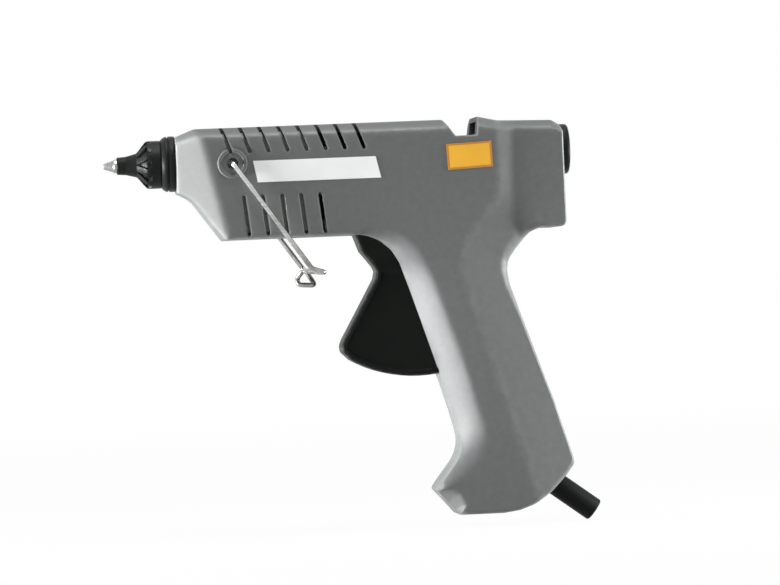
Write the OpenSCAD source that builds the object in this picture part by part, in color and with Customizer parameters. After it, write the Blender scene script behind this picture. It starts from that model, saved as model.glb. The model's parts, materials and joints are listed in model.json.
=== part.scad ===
// Pistol-shaped hot glue applicator. X runs back along the glue stick from the nozzle's mouth, Z is up.

/* [Glue stick] */
// Diameter of the glue stick
stick_d = 18; // [16:0.5:18.5]
// Radial room between the stick and the bores that guide it
stick_clear = 0.4; // [0.3:0.05:0.5]

/* [Nozzle] */
// Diameter of the glue outlet
orifice_d = 2; // [1.5:0.1:2.2]
// Length of bare steel in front of the cap
tip_len = 6.5; // [5:0.5:8]
// Diameter of the bare steel where it leaves the cap
tip_d = 5; // [4.5:0.1:5.5]
// Length of the insulating cap
cap_len = 22; // [21:0.5:26]
// Largest diameter of the insulating cap
cap_d = 24; // [23:0.5:26]
// Diameter of the cap's narrow front
cap_nose_d = 8.6; // [8.4:0.1:9.5]
// Number of cooling fins on the cap
cap_fins = 10; // [6:1:14]
// Length of the collar between cap and housing
collar_len = 7; // [6:0.5:9]
// Diameter of that collar
collar_d = 27.7; // [26:0.1:28]
// Width of the housing's nose behind the collar
nose_w = 29.3; // [28.5:0.1:30]

/* [Barrel] */
// Length of the housing from its nose to its rear face
barrel_len = 192.5; // [190:0.5:200]
// Width of the barrel
barrel_w = 50; // [49:0.5:54]
// Height of the barrel's top above the stick's axis
barrel_top = 16.4; // [16:0.1:17.5]
// Depth of the barrel's underside below the stick's axis
barrel_drop = 39; // [38.5:0.5:41]
// Width taken off each side of the rear block
rear_step = 2.5; // [1.5:0.25:3]
// Radius along the barrel's top edges
barrel_r = 9; // [8:0.5:10]
// Thickness of the housing's walls
wall = 2.5; // [2.2:0.1:2.7]

/* [Notch] */
// Distance from the notch's front edge to the rear face
notch_back = 60; // [58:0.5:61]
// Length of the notch's floor
notch_len = 10.5; // [9:0.5:11]
// Height of the notch's floor above the stick's axis
notch_floor = 8; // [7.5:0.1:8.4]

/* [Vents] */
// Number of slots along the top edge
top_slots = 8; // [5:1:8]
// Number of slots low on each side
side_slots = 5; // [3:1:5]
// Spacing of the slots
slot_pitch = 9.45; // [8.5:0.05:9.5]
// Width of a slot
slot_w = 2.3; // [1.8:0.1:2.8]

/* [Handle] */
// Backward lean of the handle in degrees
handle_lean = 17.4; // [16.5:0.1:18.5]
// Depth of the handle from front to back
handle_depth = 48; // [47:0.5:50]
// Inward slope of the handle's sides towards its base, in degrees
handle_taper = 2; // [1.5:0.1:2.2]
// Radius along the handle's front edges
grip_r = 12; // [10:0.5:13]
// Depth of the handle's base below the stick's axis
handle_drop = 180.3; // [178:0.5:184]

/* [Trigger] */
// Width of the trigger
trigger_w = 22; // [21:0.5:23]
// Distance from the trigger's pivot to its bottom edge
trigger_r = 64; // [63:0.5:65]
// Length of the arms above the pivot
arm_r = 29; // [28.6:0.1:29.2]
// Angle of a full pull in degrees
trigger_pull = 25; // [22:0.5:25]
// Diameter of the trigger's pivot pin
trigger_pin_d = 5; // [4:0.1:6]

/* [Feed] */
// Length of the feed carriage
carriage_len = 20; // [19:0.5:20.5]
// Diameter of the pin that moves the carriage
feed_pin_d = 4; // [3.5:0.1:4.2]
// Diameter of the gripper's pivot pin
gripper_pin_d = 3; // [2.5:0.1:3.2]
// Diameter of the return spring
spring_d = 6; // [5:0.1:6.5]
// Turns of the return spring
spring_turns = 10; // [8:1:11]

/* [Stand] */
// Diameter of the stand's wire
wire_d = 2.5; // [2.2:0.1:2.8]
// Length of the stand's legs
leg_len = 64.6; // [62:0.2:66]
// Rearward slant of the folded legs from straight down, in degrees
leg_slant = 34.5; // [33:0.5:35]
// Diameter of the bosses that hold the stand
stand_boss_d = 15; // [13:0.5:16]

/* [Cable] */
// Diameter of the cable's bend sleeve
sleeve_d = 11.7; // [11:0.1:12.2]
// Length of the bend sleeve outside the handle
sleeve_len = 24; // [20:0.5:28]
// Diameter of the cable's passage in the sleeve
cable_d = 7.4; // [6:0.1:8]

/* [Hidden] */
$fn = 48;
clear = 0.3;
run_clear = 0.06;
seat = 0.05;
through = 200;

// Stations along the stick's axis
bore_r = stick_d / 2 + stick_clear;
cap_x = tip_len;
collar_x = cap_x + cap_len;
nose_x = collar_x + collar_len;
rear_x = nose_x + barrel_len;
top_z = barrel_top;
low_z = -barrel_drop;
half_w = barrel_w / 2;
rear_half = half_w - rear_step;
nose_flare = 0.7;
nose_tilt = 12.3;

// Nozzle and melting chamber
hex_x = cap_x + 12.5;
hex_len = 6;
neck_x = hex_x + hex_len;
neck_r = 8;
thread_r = 5;
seat_x = nose_x - 1.5;
shank_r = cap_nose_d / 2 - 0.8;
valve_r = 2.5;
ball_r = valve_r - 0.3;
chamber_x = nose_x + 8.5;
chamber_len = 60;
chamber_end = chamber_x + chamber_len;
wide_r = bore_r + 0.5;
chamber_r = bore_r + 3;
spigot_r = bore_r + 1.6;
spigot_len = 10;
block_w = 24;
block_low = -28;
heater_r = 4;
heater_y = 6;
heater_z = -19.5;
heater_len = 46;
block_x = chamber_x + 11;

// Heat shield and the plates that carry the chamber in it
shield_t = 0.6;
shield_out = wall + clear;
shield_in = shield_out + shield_t;
shield_x = nose_x + 8.5;
shield_end = nose_x + 67.5;
shield_low = -36;
plate_low = -29.5;
plate_t = 3;
plate_x = [shield_x + 13, shield_end - 7];

// Stick inlet
sleeve_in_end = chamber_end + 26;
clamp_x = chamber_end + 3;
notch_x = rear_x - notch_back;
notch_in = notch_x + 6;
notch_out = notch_in + notch_len;
hump = 0.9;
guide_r = bore_r + 1.8;
guide_end = rear_x - 7.5;
spigot_in_r = bore_r + 2.4;
inlet_r = bore_r + 3.1;
inlet_len = 4.7;

// Handle
lean = tan(handle_lean);
base_z = -handle_drop;
handle_from_rear = 87.6;
handle_x = rear_x - handle_from_rear;
handle_back = handle_depth / cos(handle_lean);
grip_run = (low_z - base_z) / cos(handle_lean);
half_handle = half_w - grip_run * tan(handle_taper);
crease_at = 27;
facet_slope = 0.25;
toe_turn = 33;

// Trigger, carriage and their pins
pivot_from_rear = 76.3;
pivot = [rear_x - pivot_from_rear, -46.4];
half_trigger = trigger_w / 2;
arm_t = 2;
arm_rest = trigger_pull / 2;
feed_x = pivot[0] + arm_r * sin(arm_rest);
feed_z = pivot[1] + arm_r * cos(arm_rest);
beak_r = 30.5;
beak_lift = 17;
carriage_x = feed_x - 12;
carriage_end = carriage_x + carriage_len;
lug_half = half_trigger - arm_t - 0.5;
wing_half = half_w - wall - 0.7;
wing_top = -9;
wing_low = -13;
lug_low = -25;
slot_top = feed_z + arm_r * (1 - cos(arm_rest)) + feed_pin_d / 2 + 0.4;
grip_x = carriage_x + 5;
grip_z = -18;
grip_half = 4;
rail_half = 15.5;
rail_t = 2.6;
rail_x = feed_x - 2 * arm_r * sin(arm_rest) - 14;
rail_end = carriage_end + 3;
spring_z = -21;
spring_wire = 0.9;
post_x = carriage_end + 30;
post_t = 3;
rib_low = spring_z + spring_d / 2 + 3;

// Stand
stand_x = nose_x + 27.2;
stand_z = -1.5;
boss_out = 1.5;
wire_r = wire_d / 2;
bend_r = wire_d + 0.4;
leg_y = half_w + boss_out + 0.45 + wire_r;
leg_end = [stand_x + leg_len * sin(leg_slant), stand_z - leg_len * cos(leg_slant)];
foot_kick = [6.4, -2.3];
foot_dip = [-3.5, -8.2];
dip_y = 8;
kick_y = 16;

// Cable sleeve, clamp and terminals
cable_out = [foot_x(34.8), base_z + 13];
cable_turn = 36.9;
cable_dir = [cos(cable_turn), -sin(cable_turn)];
cable_side = [sin(cable_turn), cos(cable_turn)];
flange_in = 6;
clamp_at = cable_out - 17 * cable_dir;
clamp_reach = 8;
clamp_holes = [clamp_at - clamp_reach * cable_side, clamp_at + clamp_reach * cable_side];
post_r = 3;
terminal_at = [foot_x(6.5), base_z + 30.3];
terminal = [20, 20, 12];
lead_r = 1.3;
lead_z = -26.5;

// Screws that hold the halves, as places in the side view
boss_r = 4;
screw_r = 1.5;
screw_head_r = 3;
screw_head_t = 2.2;
screw_seat = 5;
screw_deep = 11;
screws = [
  [nose_x + 30, low_z + 4.5],
  [nose_x + 76, low_z + 4.5],
  [handle_x + 39.6, low_z + 6],
  [rear_x - 9, low_z + 8],
  [front_x(low_z - 23) + 37.4, low_z - 23],
  [foot_x(-8), base_z + 52],
  [foot_x(2), base_z + 8.5]
];

// Leads from the terminals to the heaters, as the wires lie in the housing
lead_up = [for (p = [[-91, 24], [-79, 32], [-67, 37.5], [-55, 41.4], [-43, 43], [-31, 43.8], [-21, 44.5]])
  [front_x(low_z + p[0]) + p[1], low_z + p[0]]];
lead_over = [
  [handle_x + 50.6, low_z - 9], [handle_x + 47.6, low_z + 2], [handle_x + 45.5, low_z + 12],
  [handle_x + 35.6, lead_z], [handle_x + 19.6, lead_z], [handle_x + 3.6, lead_z], [chamber_end + 26, lead_z]
];
lead_x = terminal_at[0] + 3.8;
lead_top = terminal_at[1] + terminal[2] / 2;
lead_start = [[lead_x, lead_top + 0.3], [lead_x, lead_top + 4]];
lead_line = concat(lead_start, lead_up, lead_over);
far_y = [5, 5, 7, 9, 10, 11, 11, 11, 11.5, 12.8, 14.2, 18.2, 19, 19, 19, 18.5];
near_y = [-5, -5, -3, -1, 1, 4, 6, 7, 8, 9.2, 10.6, 14.5, 15.5, 15.5, 15.5, 14.5];
heater_out = chamber_end + 1.9;
lead_far = concat(
  [for (i = [0:15]) [lead_line[i][0], far_y[i], lead_line[i][1]]],
  [[heater_out + 14, 16, -25], [heater_out + 6, 10, -21], [heater_out + 2.6, 6.5, -19.7]],
  [[heater_out, heater_y, heater_z]]
);
lead_near = concat(
  [for (i = [0:15]) [lead_line[i][0], near_y[i], lead_line[i][1]]],
  [[heater_out + 15, 8, -25.5], [heater_out + 8, 0, -23], [heater_out + 3, -5, -19.9]],
  [[heater_out, -heater_y, heater_z]]
);

// Place across the handle's foot, measured back from where the front line meets the base
function foot_x(d) = front_x(base_z) + d;
function front_x(z) = handle_x + (low_z - z) * lean;
function around(c, r, a) = [c[0] + r * cos(a), c[1] + r * sin(a)];
function arc(c, r, a0, a1, n) = [for (i = [0:n]) around(c, r, a0 + (a1 - a0) * i / n)];
function unit(v) = v / norm(v);

// Side view of the barrel
function barrel_side() = [
  [nose_x, collar_d / 2 - 0.9],
  [nose_x + 9, top_z],
  [notch_x, top_z],
  [notch_in, notch_floor],
  [notch_out, notch_floor],
  [notch_out + 1.2, top_z + hump],
  [notch_out + 11, top_z - 1.4],
  [rear_x - 5, top_z - 2.1],
  [rear_x - 1.2, top_z - 4.8],
  [rear_x, top_z - 8],
  [rear_x, low_z + 3],
  [rear_x - 2.8, low_z],
  [nose_x + 22.5, low_z],
  [nose_x + 7, -collar_d / 2 - 4.2],
  [nose_x, -collar_d / 2 - 0.9]
];

// Side view of the handle with its toe and heel
function handle_side() = [
  [front_x(low_z) - 8, low_z + 10],
  [front_x(low_z) - 3.5, low_z],
  [front_x(low_z - 5) + 0.8, low_z - 5],
  [front_x(low_z - 21), low_z - 21],
  [front_x(base_z + 41), base_z + 41],
  [foot_x(-12.3), base_z + 35],
  [foot_x(-14.9), base_z + 27.7],
  [foot_x(-24.4), base_z + 15.9],
  [foot_x(-26.4), base_z + 12.8],
  [foot_x(-15.4), base_z],
  [foot_x(13), base_z],
  [foot_x(25.7), base_z + 6.3],
  [foot_x(38.9), base_z + 17.3],
  [foot_x(43.4), base_z + 23.3],
  [front_x(low_z - 27.7) + handle_back, low_z - 27.7],
  [front_x(low_z - 20.6) + handle_back + 0.8, low_z - 20.6],
  [front_x(low_z - 15.4) + handle_back + 3.5, low_z - 15.4],
  [front_x(low_z - 10) + handle_back + 9.2, low_z - 10],
  [front_x(low_z - 2) + handle_back + 18.7, low_z - 2],
  [front_x(low_z) + handle_back + 24, low_z],
  [front_x(low_z) + handle_back + 24, low_z + 10]
];

// Solids of revolution and extrusions placed along the axes
module along_x(x, len, r) { translate([x, 0, 0]) rotate([0, 90, 0]) cylinder(h = len, r = r); }
module across(x, z, y0, y1, r) { translate([x, y1, z]) rotate([90, 0, 0]) cylinder(h = y1 - y0, r = r); }
module side_plate(w) { rotate([90, 0, 0]) linear_extrude(w, center = true) children(); }
module turned() { rotate([0, 90, 0]) rotate([0, 0, 90]) rotate_extrude() children(); }

// Rounded rectangle from straight and round parts
module round_rect(x0, x1, y0, y1, r) {
  translate([x0 + r, y0]) square([x1 - x0 - 2 * r, y1 - y0]);
  translate([x0, y0 + r]) square([x1 - x0, y1 - y0 - 2 * r]);
  for (x = [x0 + r, x1 - r], y = [y0 + r, y1 - r]) translate([x, y]) circle(r);
}

// Tube swept along points, with its seam turned away from a reference direction
function ring(p, t, ref, r, n) =
  let (u = unit(cross(ref, t)), v = cross(t, u))
  [for (i = [0:n - 1]) p + r * (cos(360 * i / n) * u + sin(360 * i / n) * v)];
function tangent(path, i) = unit(path[min(i + 1, len(path) - 1)] - path[max(i - 1, 0)]);
module tube(path, r, n, ref) {
  m = len(path);
  skin = [for (i = [0:m - 2], j = [0:n - 1]) [i * n + j, i * n + (j + 1) % n, (i + 1) * n + j]];
  skin_back = [for (i = [0:m - 2], j = [0:n - 1])
    [i * n + (j + 1) % n, (i + 1) * n + (j + 1) % n, (i + 1) * n + j]];
  cap_front = [for (j = [1:n - 2]) [0, j + 1, j]];
  cap_back = [for (j = [1:n - 2]) [(m - 1) * n, (m - 1) * n + j, (m - 1) * n + j + 1]];
  polyhedron(
    [for (i = [0:m - 1]) each ring(path[i], tangent(path, i), ref, r, n)],
    [for (f = concat(skin, skin_back, cap_front, cap_back)) [f[0], f[2], f[1]]]
  );
}
function coil(x0, x1, z, r, turns) =
  [for (i = [0:turns * 8]) [x0 + (x1 - x0) * i / (turns * 8), r * cos(45 * i), z + r * sin(45 * i)]];

// Barrel set in by a given distance on every side
module barrel_body(inset) {
  intersection() {
    side_plate(through) offset(delta = -inset) polygon(barrel_side());
    rotate([90, 0, 90]) linear_extrude(2 * through)
      round_rect(-half_w + inset, half_w - inset, low_z - barrel_r + inset, top_z + hump - inset,
        barrel_r - inset);
    translate([0, 0, -through]) linear_extrude(2 * through)
      offset(delta = -inset) polygon(mirrored(plan_half()));
    translate([nose_x, 0, 0]) rotate([0, -nose_tilt, 0]) translate([0, 0, -through / 2])
      linear_extrude(through) offset(delta = -inset) polygon(mirrored(nose_half()));
  }
}

// Outline from the points of its half with positive y
function mirrored(half) = concat(half, [for (i = [len(half) - 1:-1:0]) [half[i][0], -half[i][1]]]);

// Plan of the barrel, stepped in at the rear block, and its facets at the nose, measured from there
function plan_half() = [
  [nose_x, half_w], [rear_x - 31, half_w], [rear_x - 21, rear_half], [rear_x, rear_half]
];
function nose_half() = [
  [-10, nose_w / 2 - 10 * nose_flare], [0, nose_w / 2], [(half_w - nose_w / 2) / nose_flare, half_w],
  [through * 1.5, half_w]
];

// Section of the grip square to its lean: round front edges, flat sides, facets that draw in to the back
function grip_half() = concat(
  arc([grip_r, half_w - grip_r], grip_r, 180, 90, 8),
  [
    [crease_at, half_w], [handle_depth - 4, facet_y(handle_depth - 4)],
    [handle_depth - 1, facet_y(handle_depth - 1) - 1.2], [handle_depth, facet_y(handle_depth) - 4]
  ]
);
function facet_y(d) = half_w - (d - crease_at) * facet_slope;

// Plan of the neck where the handle meets the barrel, and section of the toe square to its flare
function neck_half() = [
  [handle_x - 9, half_w - grip_r], [handle_x + 2, half_w - grip_r + 2], [handle_x + grip_r, half_w - 0.4],
  [handle_x + crease_at + 9, half_w - 0.4], [handle_x + handle_back + 25, half_w - 10]
];
function toe_half() = concat(
  arc([grip_r, half_handle + 0.6 - grip_r], grip_r, 180, 90, 8),
  [[34, half_handle + 0.6]]
);

// Prism along the handle with one side sloped in, and the part that both slopes leave
module grip_prism(slope) {
  translate([handle_x, 0, low_z]) rotate([0, -handle_lean, 0]) rotate([slope, 0, 0])
    translate([0, 0, -grip_run - 8]) linear_extrude(grip_run + 20) children();
}
module grip() {
  intersection() {
    grip_prism(handle_taper) children();
    grip_prism(-handle_taper) children();
  }
}

// Handle set in by a given distance: neck, grip and toe share one side view
module handle_body(inset) {
  intersection() {
    side_plate(through) offset(delta = -inset) polygon(handle_side());
    union() {
      translate([0, 0, low_z - 20]) linear_extrude(31) offset(delta = -inset) polygon(mirrored(neck_half()));
      grip() offset(delta = -inset) polygon(mirrored(grip_half()));
      translate([foot_x(-14), 0, base_z + 35]) rotate([0, toe_turn, 0]) translate([0, 0, -50])
        linear_extrude(58) offset(delta = -inset) polygon(mirrored(toe_half()));
    }
  }
}

module body(inset) {
  barrel_body(inset);
  handle_body(inset);
}

// Opening that the trigger swings in
module trigger_opening() {
  room = clear + 0.1;
  side_plate(trigger_w + 2 * room) intersection() {
    translate(pivot) circle(trigger_r + room);
    polygon([
      [pivot[0] - beak_r - room, pivot[1] + 24],
      [pivot[0] - beak_r - room, low_z - 8],
      [pivot[0] - trigger_r, pivot[1] - trigger_r],
      [front_x(pivot[1] - trigger_r) + 8, pivot[1] - trigger_r - 2],
      [front_x(low_z) + 12, low_z],
      [pivot[0] - 4, pivot[1] + 24]
    ]);
  }
}

// Slanted slots of one side, cut from the outside
module vents(side) {
  slot_mid = nose_x + 24.5;
  deep = wall + 0.1;
  for (i = [0:top_slots - 1]) translate([slot_mid + i * slot_pitch, 0, 0])
    side_slot(side, [-2.2, top_z + 2], [2, 4.2], deep + 4.2);
  for (i = [0:side_slots - 1]) translate([slot_mid + 7.7 + i * slot_pitch, 0, 0])
    side_slot(side, [0, -18.5], [1.9, low_z + 2.2], deep);
}
module side_slot(side, upper, lower, deep) {
  turn = side > 0 ? half_w - deep : -half_w - 1;
  translate([0, turn + deep + 1, 0]) rotate([90, 0, 0]) linear_extrude(deep + 1) polygon([
    [upper[0] - slot_w / 2, upper[1]], [upper[0] + slot_w / 2, upper[1]],
    [lower[0] + slot_w / 2, lower[1]], [lower[0] - slot_w / 2, lower[1]]
  ]);
}

// Ribs, rails and bosses moulded inside the halves
module inside() {
  for (s = screws) across(s[0], s[1], -half_w, half_w, boss_r);
  for (side = [-1, 1]) {
    across(pivot[0], pivot[1], side > 0 ? half_trigger + clear : -half_w,
      side > 0 ? half_w : -half_trigger - clear, trigger_pin_d / 2 + 2.5);
    for (z = [wing_top + clear, wing_low - clear - rail_t])
      translate([rail_x, side > 0 ? rail_half : -half_w, z])
        cube([rail_end - rail_x, half_w - rail_half, rail_t]);
  }
  difference() {
    translate([notch_out + 5, -half_w, rib_low]) cube([post_t, barrel_w, top_z - rib_low]);
    along_x(notch_out, 12, guide_r + seat);
  }
}

// Posts on the near half that carry the spring, the clamp and the terminals
module posts() {
  translate([post_x, -half_w, spring_z - 5]) cube([post_t, half_w + spring_d / 2, 10]);
  for (at = clamp_holes) across(at[0], at[1], -half_w, cable_d / 2, post_r);
  translate([terminal_at[0] - terminal[0] / 2, -half_w, terminal_at[1] - terminal[2] / 2])
    cube([terminal[0], half_w - terminal[1] / 2, terminal[2]]);
}

// Wall, ribs and stand boss of one side
module half_shell(side) {
  difference() {
    body(0);
    body(wall);
  }
  intersection() {
    body(wall / 2);
    inside();
  }
  translate([0, side * (half_w + boss_out / 2 - wall / 4), 0])
    across(stand_x, stand_z, -boss_out / 2 - wall / 4, boss_out / 2 + wall / 4, stand_boss_d / 2);
}

// One half of the housing: side is -1 for the near half, 1 for the far half
module half(side) {
  pin_r = trigger_pin_d / 2 + seat;
  difference() {
    union() {
      intersection() {
        half_shell(side);
        translate([0, side > 0 ? 0 : -through, -through * 1.2]) cube([2 * through, through, 2 * through]);
      }
      if (side < 0) intersection() {
        body(wall / 2);
        posts();
      }
    }
    across(stand_x, stand_z, -through, through, wire_r + run_clear);
    translate([0, side * (half_w - 0.6 + through / 2), 0])
      across(stand_x, stand_z, -through / 2, through / 2, wire_d + 0.3);
    along_x(nose_x - 1, wall + 2, neck_r + clear);
    along_x(notch_x - 1, notch_out + 4.5 - notch_x, bore_r + 1);
    along_x(notch_out - 1, 4.5, guide_r + clear);
    along_x(guide_end, rear_x + 1 - guide_end, spigot_in_r + seat);
    trigger_opening();
    vents(side);
    across(pivot[0], pivot[1], -half_handle + wall / 2, half_handle - wall / 2, pin_r);
    for (s = screws) {
      across(s[0], s[1], -screw_deep - 1, through, screw_r + seat);
      across(s[0], s[1], screw_seat, through, screw_head_r + clear);
    }
    for (at = clamp_holes) across(at[0], at[1], -6, half_handle - wall, 1 + seat);
    cable_line(-1 - wall * 2, 2 * wall + 12, sleeve_d / 2 + seat);
    translate([post_x + post_t / 2, 0, spring_z]) cylinder(h = 20, r = spring_wire, center = true);
  }
}

// Cylinder on the cable's axis, from a distance along it
module cable_line(start, len, r) {
  translate([cable_out[0], 0, cable_out[1]]) rotate([0, 90 + cable_turn, 0]) translate([0, 0, start])
    cylinder(h = len, r = r);
}

module left_housing() { color([0.42, 0.44, 0.44]) half(-1); }

module right_housing() { color([0.42, 0.44, 0.44]) half(1); }

module housing_screws() {
  color("silver") for (s = screws) difference() {
    union() {
      across(s[0], s[1], -screw_deep, screw_seat + 0.5, screw_r);
      across(s[0], s[1], screw_seat, screw_seat + screw_head_t, screw_head_r);
    }
    translate([s[0], screw_seat + screw_head_t, s[1]]) cube([3.6, 2, 0.7], center = true);
    translate([s[0], screw_seat + screw_head_t, s[1]]) cube([0.7, 2, 3.6], center = true);
  }
}

module nozzle_tip() {
  orifice_r = orifice_d / 2;
  color("gainsboro") difference() {
    turned() polygon([
      [0, 0], [orifice_r + 0.4, 0], [tip_d / 2, tip_len], [shank_r, tip_len + 0.6], [shank_r, hex_x],
      [6, hex_x], [6, neck_x], [thread_r, neck_x], [thread_r, seat_x], [0, seat_x]
    ]);
    along_x(-1, through, orifice_r);
    along_x(cap_x + 5, through, valve_r);
  }
}

module valve_ball() { color("silver") translate([seat_x - ball_r - 0.1, 0, 0]) sphere(ball_r); }

module valve_spring() {
  wire = 0.35;
  turns = 8;
  path = coil(cap_x + 5.4, seat_x - 2 * ball_r - 0.6, 0, valve_r - wire - 0.2, turns);
  color("silver") tube(path, wire, 6, [1, 0, 0]);
}

module nozzle_cap() {
  flare_x = cap_x + 8.5;
  full_x = flare_x + 6;
  skirt_x = collar_x - 3.5;
  color([0.08, 0.08, 0.09]) difference() {
    union() {
      turned() polygon([
        [0, cap_x], [cap_nose_d / 2 - 0.4, cap_x], [cap_nose_d / 2, cap_x + 0.5],
        [cap_nose_d / 2, flare_x], [cap_d / 2 - 4.5, full_x], [cap_d / 2 - 2, skirt_x],
        [cap_d / 2, skirt_x], [cap_d / 2, collar_x], [0, collar_x]
      ]);
      intersection() {
        turned() polygon([
          [0, cap_x], [cap_nose_d / 2, flare_x - 3], [cap_nose_d / 2 + 1.6, flare_x],
          [cap_d / 2, full_x + 0.3], [cap_d / 2, collar_x], [0, collar_x]
        ]);
        for (i = [0:cap_fins - 1]) rotate([360 * i / cap_fins, 0, 0])
          translate([cap_x, -0.9, 0]) cube([cap_len, 1.8, cap_d / 2]);
      }
    }
    along_x(cap_x - 1, cap_len, shank_r + seat);
    along_x(hex_x - clear, cap_len, 6 + clear);
    along_x(neck_x - clear, cap_len, neck_r + seat);
  }
}

module nose_collar() {
  color([0.07, 0.07, 0.08]) difference() {
    turned() polygon([
      [0, collar_x], [collar_d / 2 - 0.9, collar_x], [collar_d / 2, collar_x + 0.9],
      [collar_d / 2, collar_x + collar_len * 0.42], [collar_d / 2 - 1, collar_x + collar_len * 0.5],
      [collar_d / 2, collar_x + collar_len * 0.58], [collar_d / 2, nose_x], [0, nose_x]
    ]);
    along_x(collar_x - 1, collar_len + 2, neck_r + seat);
  }
}

module melt_chamber() {
  color([0.75, 0.75, 0.74]) difference() {
    union() {
      along_x(neck_x, chamber_x + 1 - neck_x, neck_r);
      along_x(chamber_x, chamber_len, chamber_r);
      along_x(chamber_end - 1, spigot_len + 1, spigot_r);
      translate([block_x, -block_w / 2, block_low]) cube([chamber_end - block_x, block_w, -block_low]);
    }
    along_x(neck_x - 1, seat_x - neck_x + 1 + seat, thread_r + seat);
    along_x(neck_x, chamber_x - neck_x, ball_r - 0.5);
    turned() polygon([
      [0, seat_x + 2], [ball_r - 0.5, seat_x + 2], [ball_r + 1.5, chamber_x], [wide_r, chamber_x + 8],
      [wide_r, chamber_end + spigot_len + 1], [0, chamber_end + spigot_len + 1]
    ]);
    for (s = [-1, 1]) translate([0, s * heater_y, heater_z])
      along_x(chamber_end - heater_len, heater_len + 1, heater_r + seat);
  }
}

module heater_cartridges() {
  color([0.55, 0.55, 0.56]) for (s = [-1, 1]) translate([0, s * heater_y, heater_z])
    along_x(chamber_end - heater_len + 0.5, heater_len + 1, heater_r);
}

module thermostat() {
  color([0.6, 0.55, 0.4]) {
    across(chamber_x + 26, heater_z + 2, block_w / 2, block_w / 2 + 4.5, 7.5);
    across(chamber_x + 26, heater_z + 2, block_w / 2 + 4, block_w / 2 + 6.5, 5);
  }
}

module thermal_fuse() {
  color("tan") translate([0, -block_w / 2 - 2.3, heater_z + 2]) {
    along_x(chamber_x + 20, 14, 2.2);
    along_x(chamber_x + 17, 20, 0.6);
  }
}

module heat_shield() {
  color([0.6, 0.61, 0.6]) intersection() {
    difference() {
      barrel_body(shield_out);
      barrel_body(shield_in);
      across(stand_x, stand_z, -through, through, wire_d);
      for (s = screws) across(s[0], s[1], -through, through, boss_r + clear);
    }
    translate([shield_x, -through / 2, shield_low]) cube([shield_end - shield_x, through, through]);
  }
}

module chamber_supports() {
  color([0.62, 0.5, 0.36]) for (x = plate_x) difference() {
    intersection() {
      barrel_body(shield_in + seat);
      translate([x, -through / 2, plate_low]) cube([plate_t, through, through]);
    }
    along_x(x - 1, plate_t + 2, chamber_r + seat);
    translate([x - 1, -block_w / 2 - seat, block_low - seat])
      cube([plate_t + 2, block_w + 2 * seat, -block_low]);
  }
}

module inlet_sleeve() {
  color([0.72, 0.3, 0.22]) difference() {
    along_x(chamber_end + clear, sleeve_in_end - chamber_end - clear, spigot_r + 1.5);
    along_x(chamber_end, spigot_len + clear, spigot_r + seat);
    along_x(chamber_end, through, wide_r);
  }
}

module sleeve_clamp() {
  ear = [4, 3.6, 6];
  color("silver") difference() {
    union() {
      along_x(clamp_x, ear[0], spigot_r + 2.2);
      translate([clamp_x, -ear[1] / 2, -spigot_r - 2 - ear[2]]) cube([ear[0], ear[1], ear[2] + 2]);
    }
    along_x(clamp_x - 1, ear[0] + 2, spigot_r + 1.5 + seat);
    translate([clamp_x - 1, -0.5, -through]) cube([ear[0] + 2, 1, through - spigot_r]);
    across(clamp_x + ear[0] / 2, -spigot_r - 2 - ear[2] / 2, -5, 5, 1.1);
  }
}

module stick_guide() {
  color([0.3, 0.31, 0.31]) difference() {
    along_x(notch_x + 1, guide_end - notch_x - 1, guide_r);
    along_x(notch_x, through, wide_r);
    translate([notch_x, -guide_r - 1, 3]) cube([notch_out + 3 - notch_x, 2 * guide_r + 2, guide_r]);
  }
}

module inlet_collar() {
  color([0.07, 0.07, 0.08]) difference() {
    turned() polygon([
      [0, guide_end + 0.1], [spigot_in_r, guide_end + 0.1], [spigot_in_r, rear_x], [inlet_r - 0.8, rear_x],
      [inlet_r, rear_x + 0.8], [inlet_r, rear_x + inlet_len - 1.5], [inlet_r - 1.5, rear_x + inlet_len],
      [0, rear_x + inlet_len]
    ]);
    along_x(guide_end, through, bore_r);
  }
}

module feed_carriage() {
  color([0.2, 0.2, 0.21]) difference() {
    union() {
      translate([carriage_x, -lug_half, lug_low]) cube([carriage_len, 2 * lug_half, -3 - lug_low]);
      translate([carriage_x, -13, wing_low]) cube([carriage_len, 26, -3 - wing_low]);
      translate([carriage_x, -wing_half, wing_low]) cube([carriage_len, 2 * wing_half, wing_top - wing_low]);
    }
    along_x(carriage_x - 1, carriage_len + 2, wide_r);
    translate([feed_x - feed_pin_d / 2 - clear, -through / 2, lug_low - 1])
      cube([feed_pin_d + 2 * clear, through, slot_top - lug_low + 1]);
    translate([carriage_x - 1, -grip_half - clear, lug_low - 1])
      cube([feed_x - feed_pin_d / 2 - carriage_x + 1, 2 * (grip_half + clear), through]);
    across(grip_x, grip_z, -through, through, gripper_pin_d / 2 + seat);
    across(carriage_end - 2.5, spring_z, -through, through, 1);
  }
}

module stick_gripper() {
  color("slategray") difference() {
    side_plate(2 * grip_half) polygon([
      [grip_x - 3, grip_z + 4], [grip_x - 0.5, -bore_r - 1.2], [grip_x + 0.6, -bore_r - 0.5],
      [grip_x + 1.4, -bore_r - 1.4], [grip_x + 2.2, -bore_r - 0.6], [grip_x + 3.2, -bore_r - 1.6],
      [grip_x + 3.2, grip_z - 4], [grip_x + 1.5, grip_z - 5], [grip_x - 3, grip_z - 3]
    ]);
    across(grip_x, grip_z, -through, through, gripper_pin_d / 2 + run_clear);
  }
}

module gripper_pin() { color("silver") across(grip_x, grip_z, -lug_half, lug_half, gripper_pin_d / 2); }

module feed_pin() { color("silver") across(feed_x, feed_z, -half_trigger, half_trigger, feed_pin_d / 2); }

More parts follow.
